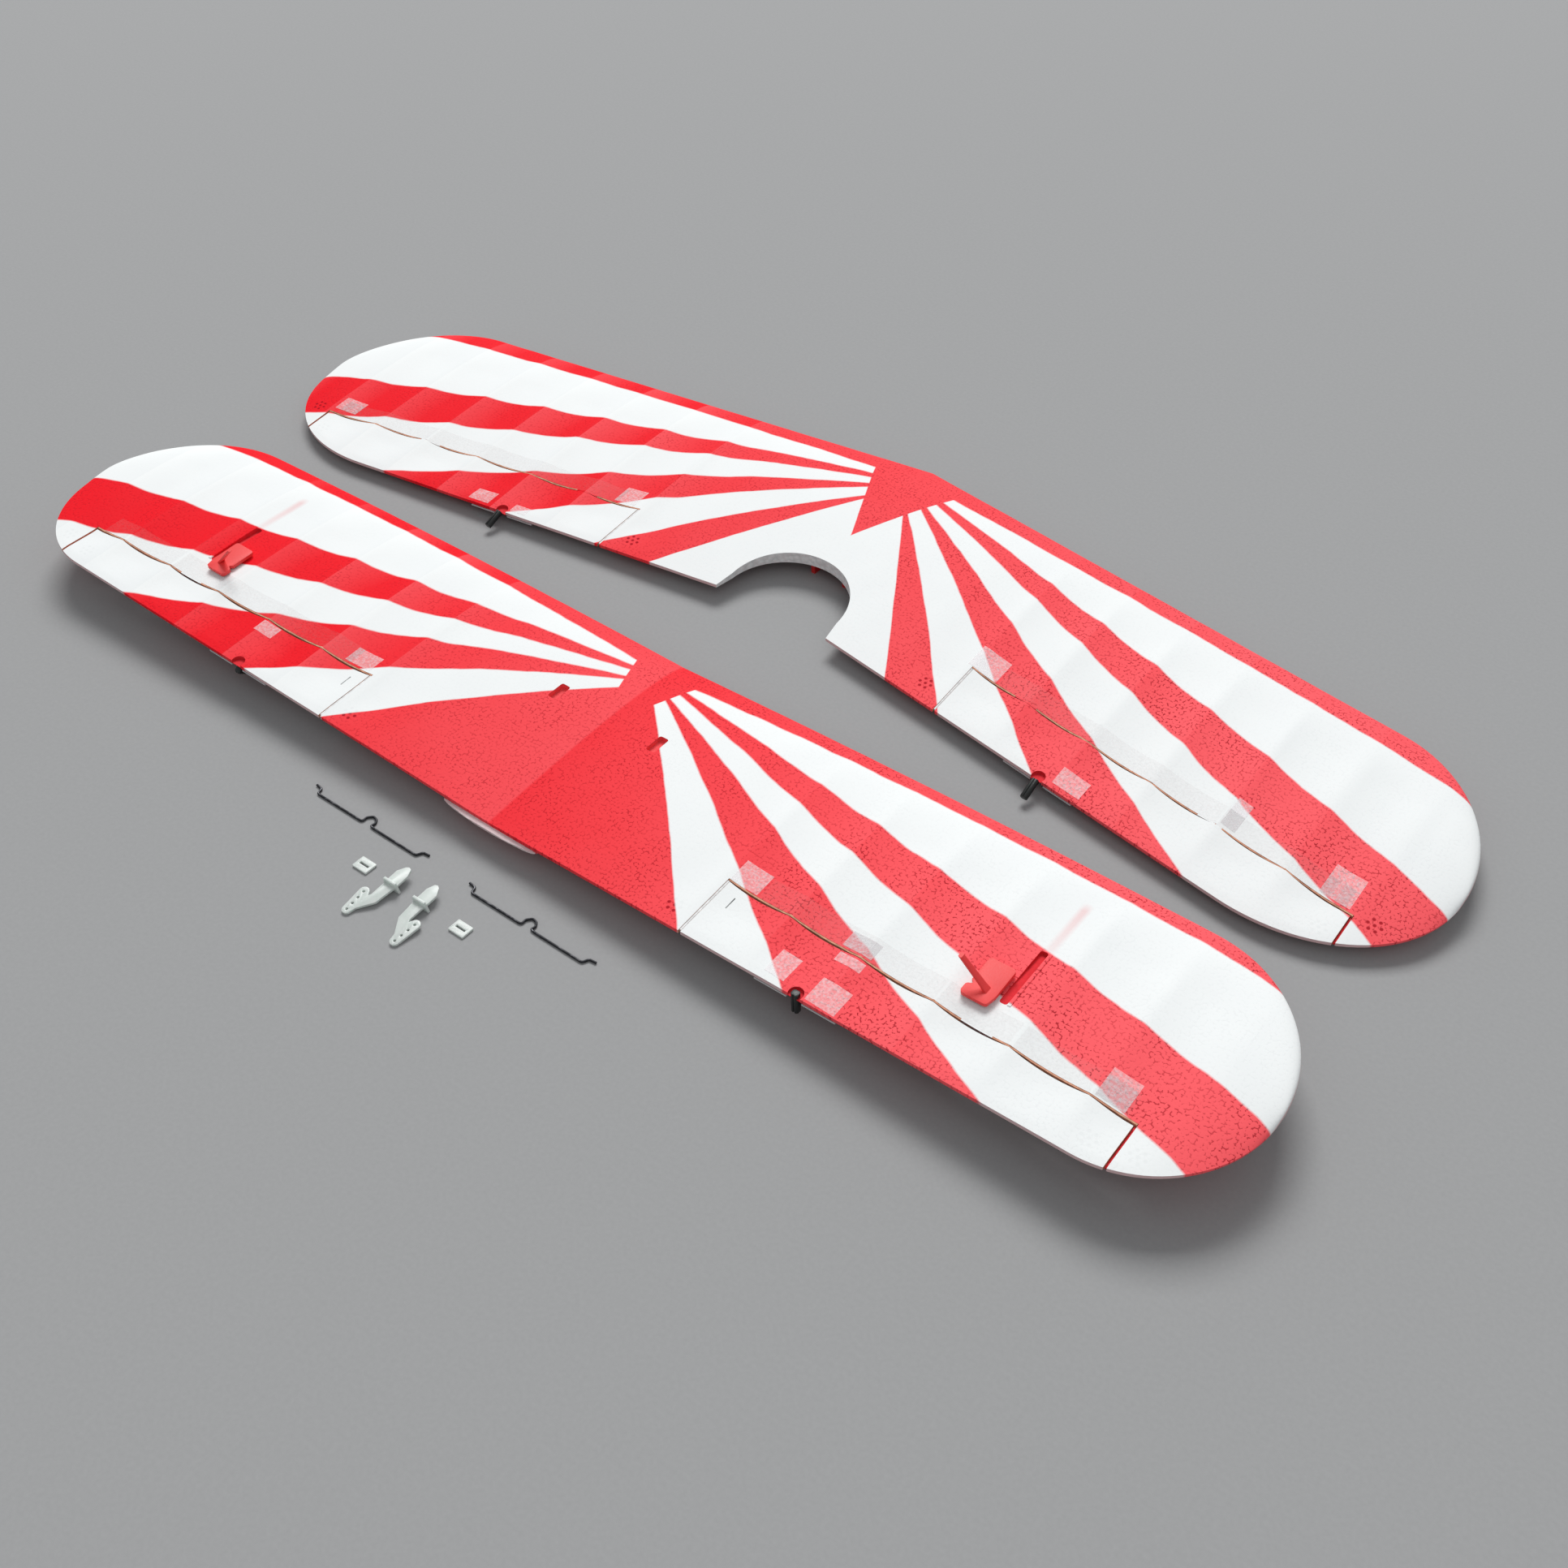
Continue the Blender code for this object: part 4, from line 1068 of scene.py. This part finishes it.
def add_pushrod(word, x, y):
    """Wire rod lying flat: a jog at each end and an adjusting bend in the middle."""
    half = ROD_HALF
    corners = [
        (-half - 2.9, 2.3), (-half - 0.5, 2.0), (-half, 0.0), *ROD_BEND,
        (half - 0.2, 0.0), (half + 0.7, 1.9), (half + 2.9, 2.1),
    ]
    curve = bpy.data.curves.new(f"pushrod_wire_{word}", "CURVE")
    curve.dimensions = "3D"
    curve.bevel_depth = WIRE_RADIUS * MM
    curve.bevel_resolution = 5
    curve.use_fill_caps = True
    points = rounded_path(corners, WIRE_BEND)
    spline = curve.splines.new("POLY")
    spline.points.add(len(points) - 1)
    for spot, point in zip(spline.points, points):
        spot.co = (point.x * MM, point.y * MM, 0.0, 1.0)
    rod = bpy.data.objects.new(f"pushrod_wire_{word}", curve)
    bpy.context.collection.objects.link(rod)
    rod.matrix_world = LAYOUT_FRAME @ Matrix.Translation(Vector((x, y, WIRE_RADIUS)) * MM)
    curve.materials.append(MATERIALS["wire"])
    hand_over(rod, f"rod_{word}", "black_wire", f"pushrod_{word}")


def horn_outline(side):
    """Spike, body and hooked arm of a control horn, seen flat; side 1 has its arm to -X."""
    points = [(0.1, 6.9), (1.0, 6.6), (1.9, 4.4), (1.9, 0.0), (1.5, -3.0), (1.2, -6.7), (-1.9, -11.2)]
    points += arc((-3.6, -12.7), 1.4, 0.0, -180.0, 14)
    points += arc((-4.2, -5.9), 1.5, 180.0, 20.0, 14)
    points += [(-2.2, -6.3), (-1.8, -5.4), (-1.8, -1.8), (-2.0, 1.1), (-2.0, 4.2), (-0.7, 6.4)]
    return [(side * x, y) for x, y in points]


def add_control_horn(word, x, y, side):
    """Moulded horn lying on its flange and the end of its arm."""
    half = HORN_THICK / 2.0
    wide, thin, tall = HORN_FLANGE
    pitch = math.atan2(tall - half, HORN_ARM_END - thin)
    lift = tall * math.cos(pitch) + thin * math.sin(pitch)
    spot = Matrix.Translation(Vector((x, y, lift)) * MM)
    place = LAYOUT_FRAME @ spot @ Matrix.Rotation(pitch, 4, "X")
    horn = link_mesh(f"horn_shell_{word}", prism(horn_outline(side), -half, half), "nylon", place)
    first = Vector(HORN_FIRST_HOLE)
    last = Vector(HORN_LAST_HOLE)
    for index in range(HORN_HOLES):
        spot = first.lerp(last, index / (HORN_HOLES - 1))
        hole = drum(side * spot.x, spot.y, HORN_HOLE_RADIUS, -SMALL_CUT, SMALL_CUT, 20)
        cut_from(horn, hole, "nylon", place)
    round_edges(horn, HORN_ROUNDING, 2)
    hand_over(horn, f"horn_{word}", "white_nylon", f"control_horn_{word}")
    outline = [(-wide, -tall), (wide, -tall), (0.72 * wide, tall), (-0.72 * wide, tall)]
    flange = loft([[(px, face_y, pz) for px, pz in outline] for face_y in (-thin, thin)])
    collar = link_mesh(f"horn_flange_shell_{word}", flange, "nylon", place)
    round_edges(collar, FLANGE_ROUNDING, 2)
    hand_over(collar, f"horn_{word}", "white_nylon")


def add_backplate(word, x, y):
    long, wide, thick = (size / 2.0 for size in BACKPLATE_SIZE)
    place = LAYOUT_FRAME @ Matrix.Translation(Vector((x, y, thick)) * MM)
    outline = rounded_box((-long, long), (-wide, wide), BACKPLATE_CORNER, 4)
    plate = link_mesh(f"backplate_shell_{word}", prism(outline, -thick, thick), "nylon", place)
    slot_long, slot_wide = (size / 2.0 for size in BACKPLATE_SLOT)
    slot = block((-slot_long, slot_long), (-slot_wide, slot_wide), (-SMALL_CUT, SMALL_CUT))
    cut_from(plate, slot, "nylon", place)
    round_edges(plate, BACKPLATE_ROUNDING, 2)
    hand_over(plate, f"plate_{word}", "white_nylon", f"backplate_{word}")


# ---------------------------------------------------------------- camera, lights, floor

CAMERA_LENS = 39.81
CAMERA_AZIMUTH = math.radians(37.924)
CAMERA_ELEVATION = math.radians(43.306)
CAMERA_ROLL = math.radians(-0.205)
CAMERA_DISTANCE = 483.9
CAMERA_TARGET = (52.9, -23.0, 7.5)

# Lights: place and size in metres, power in watts
KEY_LIGHT = ((-2.25, 3.15, 4.35), (3.2, 2.4), 292.0)
FILL_LIGHT = ((2.2, -2.4, 3.6), (3.0, 3.0), 22.0)
SKY_COLOUR = (0.95, 0.97, 1.0, 1.0)
SKY_STRENGTH = 0.38
FLOOR_REACH = 2500.0
FLOOR_TOP = -0.05


def add_camera():
    back = Vector((
        math.sin(CAMERA_AZIMUTH) * math.cos(CAMERA_ELEVATION),
        -math.cos(CAMERA_AZIMUTH) * math.cos(CAMERA_ELEVATION),
        math.sin(CAMERA_ELEVATION),
    ))
    data = bpy.data.cameras.new("camera")
    data.lens = CAMERA_LENS
    data.sensor_width = 36.0
    data.clip_start = 0.01
    camera = bpy.data.objects.new("camera", data)
    camera.location = (Vector(CAMERA_TARGET) + back * CAMERA_DISTANCE) * MM
    turn = back.to_track_quat("Z", "Y").to_matrix()
    camera.rotation_euler = (turn @ Matrix.Rotation(CAMERA_ROLL, 3, "Z")).to_euler()
    bpy.context.collection.objects.link(camera)
    bpy.context.scene.camera = camera


def add_softbox(name, place, size, power):
    """An area light, in metres, turned towards the middle of the table."""
    data = bpy.data.lights.new(name, "AREA")
    data.shape = "RECTANGLE"
    data.size, data.size_y = size
    data.energy = power
    light = bpy.data.objects.new(name, data)
    light.location = place
    light.rotation_euler = Vector(place).to_track_quat("Z", "Y").to_euler()
    bpy.context.collection.objects.link(light)


def add_studio():
    add_softbox("key", *KEY_LIGHT)
    add_softbox("fill", *FILL_LIGHT)
    world = bpy.data.worlds.new("studio")
    world.use_nodes = True
    ground = world.node_tree.nodes["Background"]
    ground.inputs["Color"].default_value = SKY_COLOUR
    ground.inputs["Strength"].default_value = SKY_STRENGTH
    bpy.context.scene.world = world
    bpy.context.scene.view_settings.view_transform = "Standard"
    reach = (-FLOOR_REACH, FLOOR_REACH)
    solid = block(reach, reach, (-10.0, FLOOR_TOP))
    shader = Shader("floor_card", 0.95, specular=0.0)
    grain = shader.noise(shader.place(), 900.0, 3.0)
    shader.colour(shader.mix(grain, *FLOOR_TONES))
    link_mesh("floor", solid, shader.material)


add_camera()
add_studio()
for level, plan, place, table in (
    ("lower", LOWER, LOWER_FRAME, LOWER_TAPE), ("upper", UPPER, UPPER_FRAME, UPPER_TAPE),
):
    build_wing(level, plan, place)
    for side, word in SIDES:
        add_hinge_core(level, plan, place, side, word)
        add_end_creases(level, plan, place, side, word)
        add_notch_floor(level, plan, place, side, word)
        add_tape(level, plan, place, side, word, table)
        add_socket(level, plan, place, side, word)
add_belly()
for side, word in SIDES:
    add_strut_plate(side, word)
    add_slot_ridge(side, word)
for word, x, y in ROD_PLACES:
    add_pushrod(word, x, y)
for word, x, y, side in HORN_PLACES:
    add_control_horn(word, x, y, side)
for word, x, y in BACKPLATE_PLACES:
    add_backplate(word, x, y)

carried = {"cabane_mount": "cabane"}
for level in ("lower", "upper"):
    for side, word in SIDES:
        carried[f"{level}_link_strip_{word}"] = "strip"
for node, kind in carried.items():
    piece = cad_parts[node]
    piece.data.materials.clear()
    piece.data.materials.append(MATERIALS[kind])
